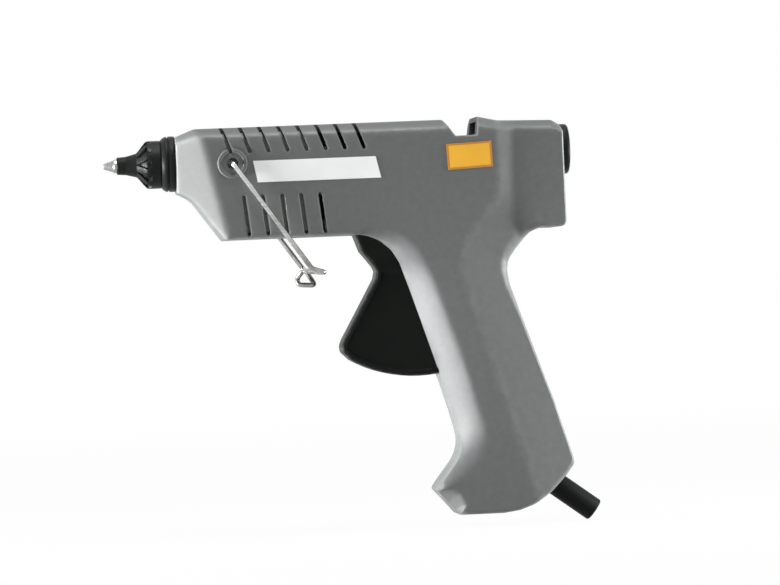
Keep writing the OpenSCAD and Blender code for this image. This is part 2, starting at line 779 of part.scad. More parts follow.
// Side view of the trigger: finger face, bottom arc, back edge and the part that follows the beak
function trigger_side() = concat(
  [
    [pivot[0] - 25.7, pivot[1] - 0.9], [pivot[0] - 19.7, pivot[1] - 8.6], [pivot[0] - 18.5, pivot[1] - 11],
    [pivot[0] - 19.3, pivot[1] - 15], [pivot[0] - 27.3, pivot[1] - 29], [pivot[0] - 36, pivot[1] - 44.1],
    [pivot[0] - 37.5, pivot[1] - 47.5], [pivot[0] - 37, pivot[1] - 50.8]
  ],
  arc(pivot, trigger_r, 239, 282, 10),
  [[pivot[0] + 11, pivot[1] - 26], [pivot[0] + 7, pivot[1] - 5], [pivot[0] + 4, pivot[1] + 5]],
  [[pivot[0] - 5, pivot[1] + 6]],
  arc(pivot, beak_r, 180 - beak_lift - trigger_pull - 2, 180 - beak_lift, 4)
);

module trigger() {
  hub_r = trigger_pin_d / 2 + 3.5;
  rim = 2.6;
  recess = 0.8;
  color([0.08, 0.09, 0.08]) difference() {
    union() {
      difference() {
        side_plate(trigger_w) polygon(trigger_side());
        side_plate(trigger_w - 2 * arm_t - 1) offset(delta = -rim) polygon(trigger_side());
        side_plate(trigger_w - 2 * arm_t - 1) polygon([
          [pivot[0] + 5, pivot[1] - 12], [pivot[0] + 20, pivot[1] - 12],
          [pivot[0] + 20, pivot[1] - trigger_r + 5], [pivot[0] + 5, pivot[1] - trigger_r + 5]
        ]);
        for (s = [-1, 1]) translate([0, s * half_trigger, 0]) side_plate(2 * recess)
          offset(delta = -rim) intersection() {
            polygon(trigger_side());
            translate([pivot[0] - 40, pivot[1] - trigger_r - 1]) square([60, trigger_r - 6]);
          }
      }
      across(pivot[0], pivot[1], -half_trigger, half_trigger, hub_r);
      for (s = [-1, 1]) translate([0, s * (half_trigger - arm_t / 2), 0]) side_plate(arm_t) {
        translate([feed_x, feed_z]) circle(feed_pin_d / 2 + 1.6);
        polygon([
          [pivot[0] - hub_r, pivot[1]], [feed_x - feed_pin_d / 2 - 1.6, feed_z],
          [feed_x + feed_pin_d / 2 + 1.6, feed_z], [pivot[0] + hub_r, pivot[1]]
        ]);
      }
    }
    across(pivot[0], pivot[1], -through, through, trigger_pin_d / 2 + run_clear);
    across(feed_x, feed_z, -through, through, feed_pin_d / 2 + seat);
  }
}

module trigger_pin() {
  reach = half_handle - wall / 2 - 0.2;
  color("silver") across(pivot[0], pivot[1], -reach, reach, trigger_pin_d / 2);
}

module return_spring() {
  path = coil(carriage_end + 0.6, post_x - 0.6, spring_z, (spring_d - spring_wire) / 2, spring_turns);
  color("silver") tube(path, spring_wire / 2, 6, [1, 0, 0]);
}

// Bent wire from one pivot hole round the foot to the other, with its turned ends as true pins
module stand_wire() {
  kick = leg_end + foot_kick;
  dip = leg_end + foot_dip;
  pin_in = half_w - wall + 0.5;
  pin_out = leg_y - bend_r - 0.2;
  run = [
    [stand_x, pin_out - 0.5, stand_z], [stand_x, leg_y, stand_z], [leg_end[0], leg_y, leg_end[1]],
    [kick[0], leg_y, kick[1]], [kick[0], kick_y, kick[1]], [dip[0], dip_y, dip[1]]
  ];
  path = concat(run, [for (i = [5:-1:0]) [run[i][0], -run[i][1], run[i][2]]]);
  color("gainsboro") {
    tube(rounded(path, bend_r, 5), wire_r * 0.99, 12, [0.8, 0, 0.6]);
    across(stand_x, stand_z, pin_in, pin_out, wire_r);
    across(stand_x, stand_z, -pin_out, -pin_in, wire_r);
  }
}

// Path with its sharp corners turned into arcs of n steps
function corner(a, b, c, r, n) =
  let (u = unit(b - a), v = unit(c - b), turn = acos(u * v), w = unit(cross(u, v)), x = cross(u, w))
  let (start = b - r * tan(turn / 2) * u)
  [for (i = [0:n]) start - r * x + r * (x * cos(turn * i / n) + u * sin(turn * i / n))];
function rounded(path, r, n) = concat(
  [path[0]],
  [for (i = [1:len(path) - 2]) each corner(path[i - 1], path[i], path[i + 1], r, n)],
  [path[len(path) - 1]]
);

module name_plate() {
  color("white") translate([0, -half_w, 0]) rotate([90, 0, 0]) linear_extrude(0.3) polygon([
    [nose_x + 37.4, -0.6], [nose_x + 98.2, -0.6], [nose_x + 100.6, -11.3], [nose_x + 39.4, -11.3]
  ]);
}

module rating_label() {
  color([0.95, 0.68, 0.16]) translate([rear_x - 47.5, -half_w, -2]) rotate([90, -2.4, 0])
    linear_extrude(0.3) translate([-11.2, -6.4]) square([22.4, 12.8]);
}

module cable_sleeve() {
  color([0.06, 0.06, 0.06]) difference() {
    union() {
      cable_line(-flange_in, sleeve_len + flange_in, sleeve_d / 2);
      cable_line(-flange_in - 3, 3, sleeve_d / 2 + 1.6);
    }
    cable_line(-through / 2, through, cable_d / 2);
  }
}

module cable_clamp() {
  bar = [2 * clamp_reach + 7, 7, 3.5];
  color([0.3, 0.3, 0.3]) difference() {
    translate([clamp_at[0], cable_d / 2, clamp_at[1]]) rotate([0, cable_turn - 90, 0]) rotate([-90, 0, 0])
      translate([-bar[0] / 2, -bar[1] / 2, 0]) cube(bar);
    for (at = clamp_holes) across(at[0], at[1], 0, through, 1.2);
  }
}

module clamp_screws() {
  top = cable_d / 2 + 3.5;
  color("silver") for (at = clamp_holes) difference() {
    union() {
      across(at[0], at[1], -5, top + 0.5, 1);
      across(at[0], at[1], top, top + 1.6, 2);
    }
    translate([at[0], top + 1.6, at[1]]) cube([2.6, 1.2, 0.5], center = true);
  }
}

module terminal_block() {
  color([0.85, 0.84, 0.78]) translate([terminal_at[0], 0, terminal_at[1]]) difference() {
    cube(terminal, center = true);
    for (y = [-5, 5]) {
      translate([4, y, 0]) cylinder(h = terminal[2] + 2, r = lead_r + 0.4, center = true);
      translate([-4, y, 0]) cylinder(h = terminal[2] + 2, r = lead_r + 0.4, center = true);
      translate([0, y, 0]) rotate([0, 90, 0]) cylinder(h = terminal[0] + 2, r = 1.8, center = true);
    }
  }
}

module terminal_screws() {
  color("goldenrod") for (y = [-5, 5], s = [-1, 1])
    translate([terminal_at[0] + s * (terminal[0] / 2 - 1.5), y, terminal_at[1]]) rotate([0, s * 90, 0])
      difference() {
        translate([0, 0, -2]) cylinder(h = 3, r = 1.75);
        translate([0, 0, 1]) cube([2.6, 0.5, 0.8], center = true);
      }
}

module heater_leads() {
  color([0.85, 0.82, 0.75]) {
    tube(lead_far, lead_r, 8, [0.5, -0.6, 0.6]);
    tube(lead_near, lead_r, 8, [0.5, -0.6, 0.6]);
  }
}

left_housing();
right_housing();
housing_screws();
nozzle_tip();
valve_ball();
valve_spring();
nozzle_cap();
nose_collar();
melt_chamber();
heater_cartridges();
thermostat();
thermal_fuse();
heat_shield();
chamber_supports();
inlet_sleeve();
sleeve_clamp();
stick_guide();
inlet_collar();
feed_carriage();
stick_gripper();
gripper_pin();
feed_pin();
trigger();
trigger_pin();
return_spring();
stand_wire();
name_plate();
rating_label();
cable_sleeve();
cable_clamp();
clamp_screws();
terminal_block();
terminal_screws();
heater_leads();
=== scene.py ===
import json
import math

import bmesh
import bpy
import numpy as np
from mathutils import Matrix, Vector
from mathutils.geometry import delaunay_2d_cdt


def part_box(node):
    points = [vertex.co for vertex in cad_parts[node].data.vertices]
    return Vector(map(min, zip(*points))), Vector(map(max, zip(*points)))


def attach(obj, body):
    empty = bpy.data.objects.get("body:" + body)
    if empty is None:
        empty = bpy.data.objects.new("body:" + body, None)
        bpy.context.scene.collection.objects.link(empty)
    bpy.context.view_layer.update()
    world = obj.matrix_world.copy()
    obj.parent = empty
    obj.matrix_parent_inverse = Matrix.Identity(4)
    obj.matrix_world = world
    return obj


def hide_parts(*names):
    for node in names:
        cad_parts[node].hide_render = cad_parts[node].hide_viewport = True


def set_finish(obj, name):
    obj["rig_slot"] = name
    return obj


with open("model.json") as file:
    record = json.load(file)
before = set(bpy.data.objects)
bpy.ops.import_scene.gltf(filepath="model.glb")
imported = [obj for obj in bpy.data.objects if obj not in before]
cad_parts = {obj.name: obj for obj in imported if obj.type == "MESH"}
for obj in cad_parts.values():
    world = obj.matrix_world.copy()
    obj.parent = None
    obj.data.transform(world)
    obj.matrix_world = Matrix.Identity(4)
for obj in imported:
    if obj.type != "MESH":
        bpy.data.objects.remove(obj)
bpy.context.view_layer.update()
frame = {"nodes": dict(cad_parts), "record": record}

nodes = frame["nodes"]
mm = 0.001
fullTurn = 2 * math.pi
print("frame loaded:", len(nodes), "CAD nodes")

# All shapes below are worked out in millimetres, in the frame of the CAD model
# weld joins points this close, slivers are triangles under this area near an outline, sharp is in degrees
meshing = {"weld": 0.02, "same": 1e-6, "tiny": 1e-9, "sliver": 0.002, "sliverEdge": 0.1, "flatGap": 1e-5,
           "sharp": 38}


def smoothStep(t):
    t = np.clip(t, 0, 1)
    return t * t * (3 - 2 * t)


def softMin(a, b, k):  # smaller of a and b, with a round of about k where they meet
    h = np.clip(0.5 + 0.5 * (b - a) / k, 0, 1)
    return b * (1 - h) + a * h - k * h * (1 - h)


def softClip(t, k):  # t where it is positive and 0 elsewhere, with a round of about k
    return 0.5 * (t + np.sqrt(t * t + k * k))


def unit(v):  # each row at length 1
    return v / np.linalg.norm(v, axis=1)[:, None]


def inwardOf(ahead):  # to the right of the way ahead, which is inside on these outlines
    return unit(np.stack([ahead[:, 1], -ahead[:, 0]], 1))


def closedLine(loop):  # the loop with its first point again at the end
    return np.vstack([loop, loop[:1]])


def alongOf(line):  # length of the line up to each point
    return np.r_[0, np.cumsum(np.linalg.norm(np.diff(line, axis=0), axis=1))]


def around(count):  # even angles round a circle
    return np.linspace(0, fullTurn, count, endpoint=False)


def ring(middle, radius, count):
    turn = around(count)
    return np.stack([middle[0] + radius * np.cos(turn), middle[1] + radius * np.sin(turn)], 1)


# Each corner gives way to a quadratic curve between two points one tangent length away
def roundedPath(places, radii, closed=True, steps=7, mostCut=0.45):
    p = np.asarray(places, float)
    before = p - np.roll(p, 1, 0)
    after = np.roll(p, -1, 0) - p
    longBefore = np.linalg.norm(before, axis=1)
    longAfter = np.linalg.norm(after, axis=1)
    u = before / np.maximum(longBefore, meshing["tiny"])[:, None]
    v = after / np.maximum(longAfter, meshing["tiny"])[:, None]
    turn = np.arccos(np.clip((u * v).sum(1), -1, 1))
    cut = np.minimum(np.asarray(radii, float) * np.tan(turn / 2), mostCut * np.minimum(longBefore, longAfter))
    if not closed:
        cut[[0, -1]] = 0
    s = np.linspace(0, 1, steps)[None, :, None]
    a = (p - u * cut[:, None])[:, None]
    b = (p + v * cut[:, None])[:, None]
    return ((1 - s) ** 2 * a + 2 * s * (1 - s) * p[:, None] + s * s * b).reshape(-1, p.shape[1])


# Stations at every kept corner and about one step apart between them
def evenlySpaced(path, step, closed=True, leastGap=0.35):
    line = closedLine(path) if closed else np.asarray(path, float)
    at = alongOf(line)
    kept = np.r_[True, np.diff(at) > meshing["same"]]
    places = at[kept]
    between = np.arange(step, at[-1], step)
    between = between[np.abs(between[:, None] - places).min(1) > leastGap * step]
    stations = np.sort(np.r_[places, between])
    out = np.stack([np.interp(stations, places, column) for column in line[kept].T], 1)
    return out[:-1] if closed else out


# Shortest way from each point to a line of segments, and the value that the line carries there
def nearestOn(points, line, value=None):
    a, along = line[:-1], np.diff(line, axis=0)
    t = ((points[:, None] - a) * along).sum(2) / np.maximum((along ** 2).sum(1), meshing["tiny"])
    t = np.clip(t, 0, 1)
    far = np.linalg.norm(points[:, None] - a - t[..., None] * along, axis=2)
    i = far.argmin(1)
    rows = np.arange(len(points))
    held = None if value is None else value[i] * (1 - t[rows, i]) + value[i + 1] * t[rows, i]
    return far[rows, i], held


def insideLoop(points, loop):  # odd number of crossings to the right of the point
    x, z = points[:, :1], points[:, 1:]
    a, b = loop, np.roll(loop, -1, 0)
    rise = np.where(b[:, 1] == a[:, 1], meshing["tiny"], b[:, 1] - a[:, 1])
    crossed = (a[:, 1] > z) != (b[:, 1] > z)
    reach = a[:, 0] + (z - a[:, 1]) * (b[:, 0] - a[:, 0]) / rise
    return (crossed & (x < reach)).sum(1) % 2 == 1


def joined(shapes):  # several shapes as one, each its points and then arrays of faces
    first = np.cumsum([0] + [len(shape[0]) for shape in shapes])
    faceSets = [faces + start for shape, start in zip(shapes, first) for faces in shape[1:]]
    return (np.vstack([shape[0] for shape in shapes]), *faceSets)


def shaded(mesh, sharp):  # smooth up to the given angle
    mesh.shade_smooth()
    mesh.set_sharp_from_angle(angle=math.radians(sharp))


def putIn(name, shape, body, slot, replaced=(), sharp=meshing["sharp"]):
    verts, *faceSets = shape
    mesh = bpy.data.meshes.new(name)
    mesh.from_pydata((verts * mm).tolist(), [], sum([faces.tolist() for faces in faceSets], []))
    piece = bpy.data.objects.new(name, mesh)
    bpy.context.scene.collection.objects.link(piece)
    build = bmesh.new()
    build.from_mesh(mesh)
    bmesh.ops.remove_doubles(build, verts=build.verts, dist=meshing["weld"] * mm)
    build.to_mesh(mesh)
    build.free()
    mesh.validate()
    shaded(mesh, sharp)
    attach(piece, body)
    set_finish(piece, slot)
    if replaced:
        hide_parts(*replaced)
    return piece


def wallInside(piece, thickness):  # gives a shell its wall and makes it part of the mesh
    wall = piece.modifiers.new("wall", "SOLIDIFY")
    wall.thickness = thickness * mm
    wall.offset = -1
    wall.use_rim = True
    depsgraph = bpy.context.evaluated_depsgraph_get()
    done = bpy.data.meshes.new_from_object(piece.evaluated_get(depsgraph))
    piece.modifiers.clear()
    piece.data = done
    shaded(done, meshing["sharp"])


def keepToneMark(piece, toneMarkOf):  # keeps on the mesh a mark for each point, from 0 to 1: painted highlight mixed with wear on the housing and trigger, a darker foot on the stand wire
    places = np.empty(3 * len(piece.data.vertices), np.float32)
    piece.data.vertices.foreach_get("co", places)
    held = piece.data.attributes.new("toneMark", "FLOAT", "POINT")
    held.data.foreach_set("value", toneMarkOf(places.reshape(-1, 3) / mm).astype(np.float32))


# Half of a moulding seen from the side: the outline and its holes are triangulated flat,
# lifted across by heightOf, and a band of rows runs from the outline's lifted edge to the middle plane
def mouldedHalf(side, loop, holes, inner, heightOf, rows, openedAt, groove=0.0):
    loops = [loop] + holes
    edges, first = [], 0
    for one in loops:
        ids = first + np.arange(len(one))
        edges += np.stack([ids, np.roll(ids, -1)], 1).tolist()
        first += len(one)
    made = delaunay_2d_cdt(np.vstack(loops + [inner]).tolist(), edges, [], 0, meshing["flatGap"])
    points, tris = np.array(made[0]), np.array(made[2])
    middle = points[tris].mean(1)
    u, w = points[tris[:, 1]] - points[tris[:, 0]], points[tris[:, 2]] - points[tris[:, 0]]
    thin = np.flatnonzero(np.abs(u[:, 0] * w[:, 1] - u[:, 1] * w[:, 0]) < meshing["sliver"])
    kept = insideLoop(middle, loop)
    kept[thin[nearestOn(middle[thin], closedLine(loop))[0] < meshing["sliverEdge"]]] = False
    for hole in holes:
        kept &= ~insideLoop(middle, hole)
    tris = tris[kept]
    lifted = np.stack([points[:, 0], side * heightOf(points), points[:, 1]], 1)
    inward = inwardOf(np.roll(loop, -1, 0) - np.roll(loop, 1, 0))
    rows = np.asarray(rows, float)
    flat = loop[:, None] + inward[:, None] * (groove * (rows == 0))[:, None]
    y = np.minimum(heightOf(loop)[:, None], rows)
    band = np.stack([flat[..., 0], side * y, flat[..., 1]], 2).reshape(-1, 3)
    count, n = len(loop), len(rows)
    i, j = np.meshgrid(np.arange(count), np.arange(n - 1), indexing="ij")
    i, j = i.ravel(), j.ravel()
    over = (i + 1) % count
    quads = np.stack([i * n + j, over * n + j, over * n + j + 1, i * n + j + 1], 1)
    quads = quads[~openedAt(band[quads].mean(1))] + len(lifted)
    if side > 0:
        tris, quads = tris[:, ::-1], quads[:, ::-1]
    verts = np.vstack([lifted, band])
    used = np.zeros(len(verts), bool)
    used[tris] = True
    used[quads] = True
    renumbered = np.cumsum(used) - 1
    return verts[used], renumbered[tris], renumbered[quads]


# Rows of points where an edge bends: so deep inside the line as an arc of the radius is after each turn
def edgeRows(line, radius, turns=(12, 25, 40, 55, 72, 82, 90, 98), leastDepth=0.93):
    inward = inwardOf(np.gradient(line, axis=0))
    depth = radius[:, None] * (1 - np.cos(np.radians(turns)))
    found = (line[:, None] + inward[:, None] * depth[..., None]).reshape(-1, 2)
    return found[nearestOn(found, line)[0] > leastDepth * depth.ravel()]


def spaced(points, loops, gap):  # leaves out points that sit too close to the constraint lines
    kept = np.ones(len(points), bool)
    for loop in loops:
        kept &= nearestOn(points, closedLine(loop))[0] > gap
    return points[kept]


def fieldOf(low, high, step, rowShare=0.87):  # staggered grid of points
    x, z = np.meshgrid(np.arange(low[0], high[0], step), np.arange(low[1], high[1], step * rowShare))
    x = x + 0.5 * step * (np.arange(len(x)) % 2)[:, None]
    return np.stack([x.ravel(), z.ravel()], 1)


# Turned shape: rows of (distance along, radius) carried round an axis through start
def turned(profile, count, start=(0, 0, 0), ahead=(1, 0, 0)):
    profile = np.asarray(profile, float)
    ahead = np.asarray(ahead, float) / np.linalg.norm(ahead)
    helper = np.array([1, 0, 0]) if abs(ahead[1]) > abs(ahead[0]) else np.array([0, 1, 0])
    u = np.cross(helper, ahead)
    u /= np.linalg.norm(u)
    v = np.cross(ahead, u)
    turn = around(count)
    outwards = np.cos(turn)[:, None] * u + np.sin(turn)[:, None] * v
    verts = np.asarray(start) + profile[:, None, :1] * ahead + profile[:, None, 1:] * outwards
    return verts.reshape(-1, 3), gridFaces(len(profile), count)


def gridFaces(rowCount, count, closedRows=True):  # quads of a grid that is closed along its columns
    lastRow = rowCount if closedRows else rowCount - 1
    i, j = np.meshgrid(np.arange(lastRow), np.arange(count), indexing="ij")
    i, j = i.ravel(), j.ravel()
    up, over = (i + 1) % rowCount, (j + 1) % count
    return np.stack([i * count + j, i * count + over, up * count + over, up * count + j], 1)


# Housing halves: side surface over the outline of the gun, with its nose facet, the facet behind the
# crease, the taper of the handle and the rounded edges
housing = {
    # stretches of the outline: slope in degrees at the inner and outer side of the edge, then points as
    # x, z, corner radius and width of the edge in the side view
    "edges": {
        "top": ((42, 80), [(35.5, 12.95, 0, 3), (44.5, 16.4, 6, 4), (60, 16.4, 0, 4.7), (168, 16.4, 0, 4.7)]),
        "notch": ((0, 90), [(168, 16.4, 0, 0.8), (174, 8, 0.5, 0.8), (184.5, 8, 0.5, 0.8),
                            (185.7, 17.3, 0, 0.8)]),
        "rearTop": ((38, 78), [(185.7, 17.3, 0, 5), (195.5, 15, 10, 4.2), (223, 14.3, 3, 4.2),
                               (226.8, 11.6, 3, 3.2), (228, 8.4, 0, 0.4)]),
        "rear": ((0, 90), [(228, 8.4, 0, 1.2), (228, -30, 0, 0.9), (228, -39, 3.4, 0.9), (219.5, -38.9, 0, 0.4)]),
        "handleBack": ((0, 90), [(219.5, -38.9, 0, 0.6), (215.6, -38.8, 0, 2.6), (210, -41, 9, 5.4),
                                 (203, -49, 12, 6), (199, -54.4, 9, 5.2), (198, -59.6, 12, 4.4),
                                 (199, -66.7, 12, 3.4), (204.6, -84, 40, 1.6), (218.8, -125.6, 60, 0.9),
                                 (227.1, -153, 0, 0.9)]),
        "heel": ((0, 90), [(227.1, -153, 0, 0.5), (228.3, -157, 4, 2.2), (223.6, -163, 9, 2.2),
                           (216, -170.5, 20, 2.2), (207.5, -176.3, 20, 2.2), (199.5, -179.2, 14, 2.2),
                           (191, -180.3, 14, 2.2), (169.6, -180.3, 0, 2.2)]),
        "toe": ((42, 64), [(169.6, -180.3, 0, 2.6), (169.2, -180.2, 0.3, 3.2), (167.2, -177.9, 0, 5.4),
                           (163.8, -174, 0, 6.8), (160.9, -170.6, 0, 5.6), (158.3, -167.5, 2.4, 3),
                           (160.3, -164.9, 0, 1.6)]),
        "handleFront": ((24, 66), [(160.3, -164.9, 0, 3), (164, -160.1, 0, 5), (169.8, -152.6, 18, 8.4),
                                   (172, -145.7, 18, 11.2), (171, -139.3, 20, 12), (162.6, -109.85, 0, 12),
                                   (149.2, -67.5, 30, 12), (146.5, -59.5, 20, 11.5), (144.6, -53.6, 14, 10.5),
                                   (140.6, -47, 12, 8.5), (135, -42.2, 12, 6), (129.5, -39.8, 12, 4),
                                   (125, -39, 6, 2.2), (120.8, -39, 0, 0.4)]),
        "belly": ((0, 90), [(120.8, -39, 0, 2), (61, -39, 0, 2)]),
        "chin": ((0, 90), [(61, -39, 0, 0.4), (58, -39, 2, 1.6), (42.5, -18.05, 14, 1.4),
                           (35.5, -14.75, 0, 1.2)]),
        "nose": ((0, 90), [(35.5, -14.75, 0, 0.6), (35.5, 12.95, 0, 0.6)]),
    },
    "bevelRound": 0.9, "leastHalf": 0.2,
    # the handle's front edge is flatter from its lower bend to the toe
    "bendEase": 0.62, "bendZ": -130.0, "bendRun": 20.0,
    # x, z and corner radius of the crease in front of the rear facet
    "crease": [(195.6, 20, 0), (194.8, -22, 10), (177.4, -44.5, 22), (173.8, -56, 22), (207.8, -168.4, 0),
               (212, -182, 0)],
    "halfWidth": 25.0, "creaseSlope": 0.25, "creaseRound": 1.6, "rearStep": 2.5, "stepRound": 0.6,
    "blockSlope": 0.37, "blockLow": -60.0, "blockFade": 40.0,  # steeper facet on the rear block
    "neckX": 218.0, "neckRun": 18.0, "neckUnder": 6.0, "neckZ": -20.0, "neckFade": 40.0, "neckDeep": 7.0,
    "noseX": 35.5, "noseHalf": 14.65, "noseFlare": 0.7, "noseTilt": 12.3, "noseRound": 1.2,
    "taper": 0.0366, "taperRound": 4.0, "barrelLow": -39.0,
    # boss and dish round the stand's hole
    "standAt": (62.7, -1.5), "standHole": 2.8, "bossRadius": 7.5, "bossHeight": 1.5, "bossRound": 0.6,
    "dishRadius": 5.9, "bossDish": 0.9,
    # cooling slots: count, then both ends of the first one's middle line
    "topSlots": (8, (57.8, 16.15), (62, 4.2)), "lowSlots": (5, (67.7, -18.5), (69.6, -36.8)),
    "slotPitch": 9.45, "slotWidth": 1.8, "slotRound": 0.85, "slotLip": 60, "slotStep": 0.9,
    # rows and points of the mesh
    "wall": 2.4, "step": 1.2, "field": 1.7, "groove": 0.25, "gap": 0.4, "holePoints": 28, "ringPoints": 40,
    "rows": (30, 24, 21, 18.5, 16, 14, 12.5, 11.4, 10.4, 9.2, 8, 6.5, 5, 3.5, 2, 0.45, 0),
    "creaseRows": (-2, -1, 0, 1, 2), "bossRows": (4.4, 5.3, 5.6, 5.9, 6.4, 6.9, 7.2, 7.5, 7.9),
    "lipRows": (0.55, 1.0),
    # edges lightened by a painted highlight mixed with wear: those marked where their bevel starts, those left
    # out, and how far the mark reaches
    "ridges": ("top", "rearTop"), "noWearHighlight": ("toe", "handleFront"), "wearHighlightReach": 0.6, "wearHighlightShare": 0.08,
    "creaseHighlight": 0.5, "creaseReach": 2.0, "leastWearHighlight": 0.02, "wearHighlightUnder": 1.0,
    # screws, the wells over their heads and the posts that they bite in
    "screws": [(65.5, -34.5), (111.5, -34.5), (180, -33), (219, -31), (185, -62), (176.7, -128.3),
               (186.7, -171.8)],
    "screwHole": 3.3, "wellWall": 1.0, "screwFloor": 4.9, "postRadius": 4.0, "postHole": 1.6, "tubeUnder": 1.0,
    # openings through the outline
    "triggerGap": 11.4, "triggerFront": 120.8, "triggerBack": 165.0, "triggerTop": -38.0, "triggerLow": -109.85,
    "stickHole": 10.4, "stickFrom": 170.0, "stickTo": 186.0, "stickWall": 184.6, "stickTop": 15.0,
    "stickSide": 13.5, "inletHole": 11.4, "inletFrom": 227.5, "nozzleHole": 9.0, "nozzleTo": 36.0,
    "sleeveHole": 5.2, "sleeveTop": -150.0, "sleeveAt": (219.5, -167.3), "sleeveAhead": (0.79968, -0.60042),
}


def housingEdges():  # each stretch of the outline as points, edge widths and slopes
    lines = []
    for slopes, corners in housing["edges"].values():
        c = np.array(corners, float)
        path = roundedPath(c[:, :2], c[:, 2], closed=False)
        line = evenlySpaced(path, housing["step"], closed=False)
        middles = alongOf(path).reshape(len(c), -1).mean(1)
        lines.append((line, np.interp(alongOf(line), middles, c[:, 3]), slopes))
    return lines


def creaseLine():
    c = np.array(housing["crease"])
    return evenlySpaced(roundedPath(c[:, :2], c[:, 2], closed=False), housing["step"], closed=False)


# Half width less the nose facet, the facet behind the crease, the handle's taper and the drop of every edge
def housingSide(points, lines):
    h = housing
    x, z = points[:, 0], points[:, 1]
    tilt = math.radians(h["noseTilt"])
    facet = h["noseHalf"] + h["noseFlare"] * ((x - h["noseX"]) * math.cos(tilt) + z * math.sin(tilt))
    width = softMin(np.full_like(x, h["halfWidth"]), facet, h["noseRound"])
    crease = creaseLine()
    away = nearestOn(points, crease)[0]
    side = np.sign(x - np.interp(-z, -crease[:, 1], crease[:, 0]))
    steeper = (h["blockSlope"] - h["creaseSlope"]) * smoothStep((z - h["blockLow"]) / h["blockFade"])
    behind = (h["creaseSlope"] + steeper) * softClip(away * side, h["creaseRound"])
    infront = smoothStep((h["neckX"] - x) / h["neckRun"])
    under = smoothStep((h["barrelLow"] - z) / h["neckUnder"])
    neck = smoothStep((h["neckZ"] - z) / h["neckFade"]) * np.maximum(infront, under)
    width = width - softMin(behind, h["rearStep"] + h["neckDeep"] * neck, h["stepRound"])
    width = width - h["taper"] * softClip(h["barrelLow"] - z, h["taperRound"])
    fromStand = np.hypot(x - h["standAt"][0], z - h["standAt"][1])
    width = width + h["bossHeight"] * smoothStep((h["bossRadius"] - fromStand) / h["bossRound"])
    width = width - h["bossDish"] * smoothStep((h["dishRadius"] - fromStand) / h["bossRound"])
    drop = np.zeros_like(x)
    eased = 1 - h["bendEase"] * smoothStep((h["bendZ"] - z) / h["bendRun"])
    for name, (line, wide, slopes) in zip(h["edges"], lines):
        far, held = nearestOn(points, line, wide)
        share = eased if name == "handleFront" else 1
        drop += (share * edgeDrop(far, held, *slopes)) ** 2
    for a, b in slotEnds():
        gap = nearestOn(points, np.array([a, b]))[0] - h["slotWidth"] / 2
        drop += edgeDrop(np.maximum(gap, 0), h["slotRound"], 0, h["slotLip"]) ** 2
    return np.maximum(width - np.sqrt(drop), h["leastHalf"])


# Drop of an edge that is so wide in the side view: an arc whose slope runs from one angle to the other
def edgeDrop(far, wide, first, last):
    a, b = math.sin(math.radians(first)), math.sin(math.radians(last))
    radius = wide / (b - a)
    deep = np.clip(wide - far, 0, None)
    if first > 0:
        deep = np.minimum(softClip(wide - far, housing["bevelRound"]), wide)
    lean = np.minimum(a + deep / radius, b)
    return radius * (math.cos(math.radians(first)) - np.sqrt(1 - lean * lean))


def slantedSlot(a, b, width, steps=7):  # round-ended slot from a to b
    lean = math.atan2(b[1] - a[1], b[0] - a[0])
    turn = np.linspace(math.pi / 2, 3 * math.pi / 2, steps) + lean
    way = width / 2 * np.stack([np.cos(turn), np.sin(turn)], 1)
    return np.vstack([a + way, b - way])


def slotEnds():  # both ends of the middle line of each slot
    h = housing
    ends = []
    for count, a, b in (h["topSlots"], h["lowSlots"]):
        for k in range(count):
            move = np.array([k * h["slotPitch"], 0])
            ends.append((np.array(a) + move, np.array(b) + move))
    return ends


def slotLoops(width):
    return [evenlySpaced(slantedSlot(a, b, width), housing["slotStep"]) for a, b in slotEnds()]


def housingHoles(side):  # the screw holes are on the far side alone
    h = housing
    holes = [ring(h["standAt"], h["standHole"], h["holePoints"])] + slotLoops(h["slotWidth"])
    if side > 0:
        holes += [ring(at, h["screwHole"], h["holePoints"]) for at in h["screws"]]
    return holes


def housingOpened(p):  # where trigger, stick, nozzle and sleeve pass through the outline
    h = housing
    x, y, z = p[:, 0], np.abs(p[:, 1]), p[:, 2]
    fromAxis = np.hypot(y, z)
    finger = (x > h["triggerFront"]) & (x < h["triggerBack"]) & (y < h["triggerGap"])
    finger &= (z < h["triggerTop"]) & (z > h["triggerLow"])
    inlet = (x > h["inletFrom"]) & (fromAxis < h["inletHole"])
    nozzleEnd = (x < h["nozzleTo"]) & (fromAxis < h["nozzleHole"])
    stick = (x > h["stickFrom"]) & (fromAxis < h["stickHole"])
    stick |= (x > h["stickWall"]) & (y < h["stickSide"]) & (z < h["stickTop"]) & (z > 0)
    stick &= x < h["stickTo"]
    dx, dz = x - h["sleeveAt"][0], z - h["sleeveAt"][1]
    across = dx * h["sleeveAhead"][1] - dz * h["sleeveAhead"][0]
    sleeve = (np.hypot(across, y) < h["sleeveHole"]) & (z < h["sleeveTop"])
    return finger | inlet | nozzleEnd | stick | sleeve


def housingInner(loop, lines, holes):  # points inside the outline: rows along every bend, and a field between
    h = housing
    found = [edgeRows(line, wide) for line, wide, slopes in lines]
    crease = creaseLine()
    sideways = -inwardOf(np.gradient(crease, axis=0))
    found += [crease + off * sideways for off in h["creaseRows"]]
    found += [ring(h["standAt"], radius, h["ringPoints"]) for radius in h["bossRows"]]
    for share in h["lipRows"]:
        found += slotLoops(h["slotWidth"] + 2 * share * h["slotRound"])
    found.append(fieldOf(loop.min(0), loop.max(0), h["field"]))
    inner = np.vstack(found)
    return spaced(inner[insideLoop(inner, loop)], [loop] + holes, h["gap"])


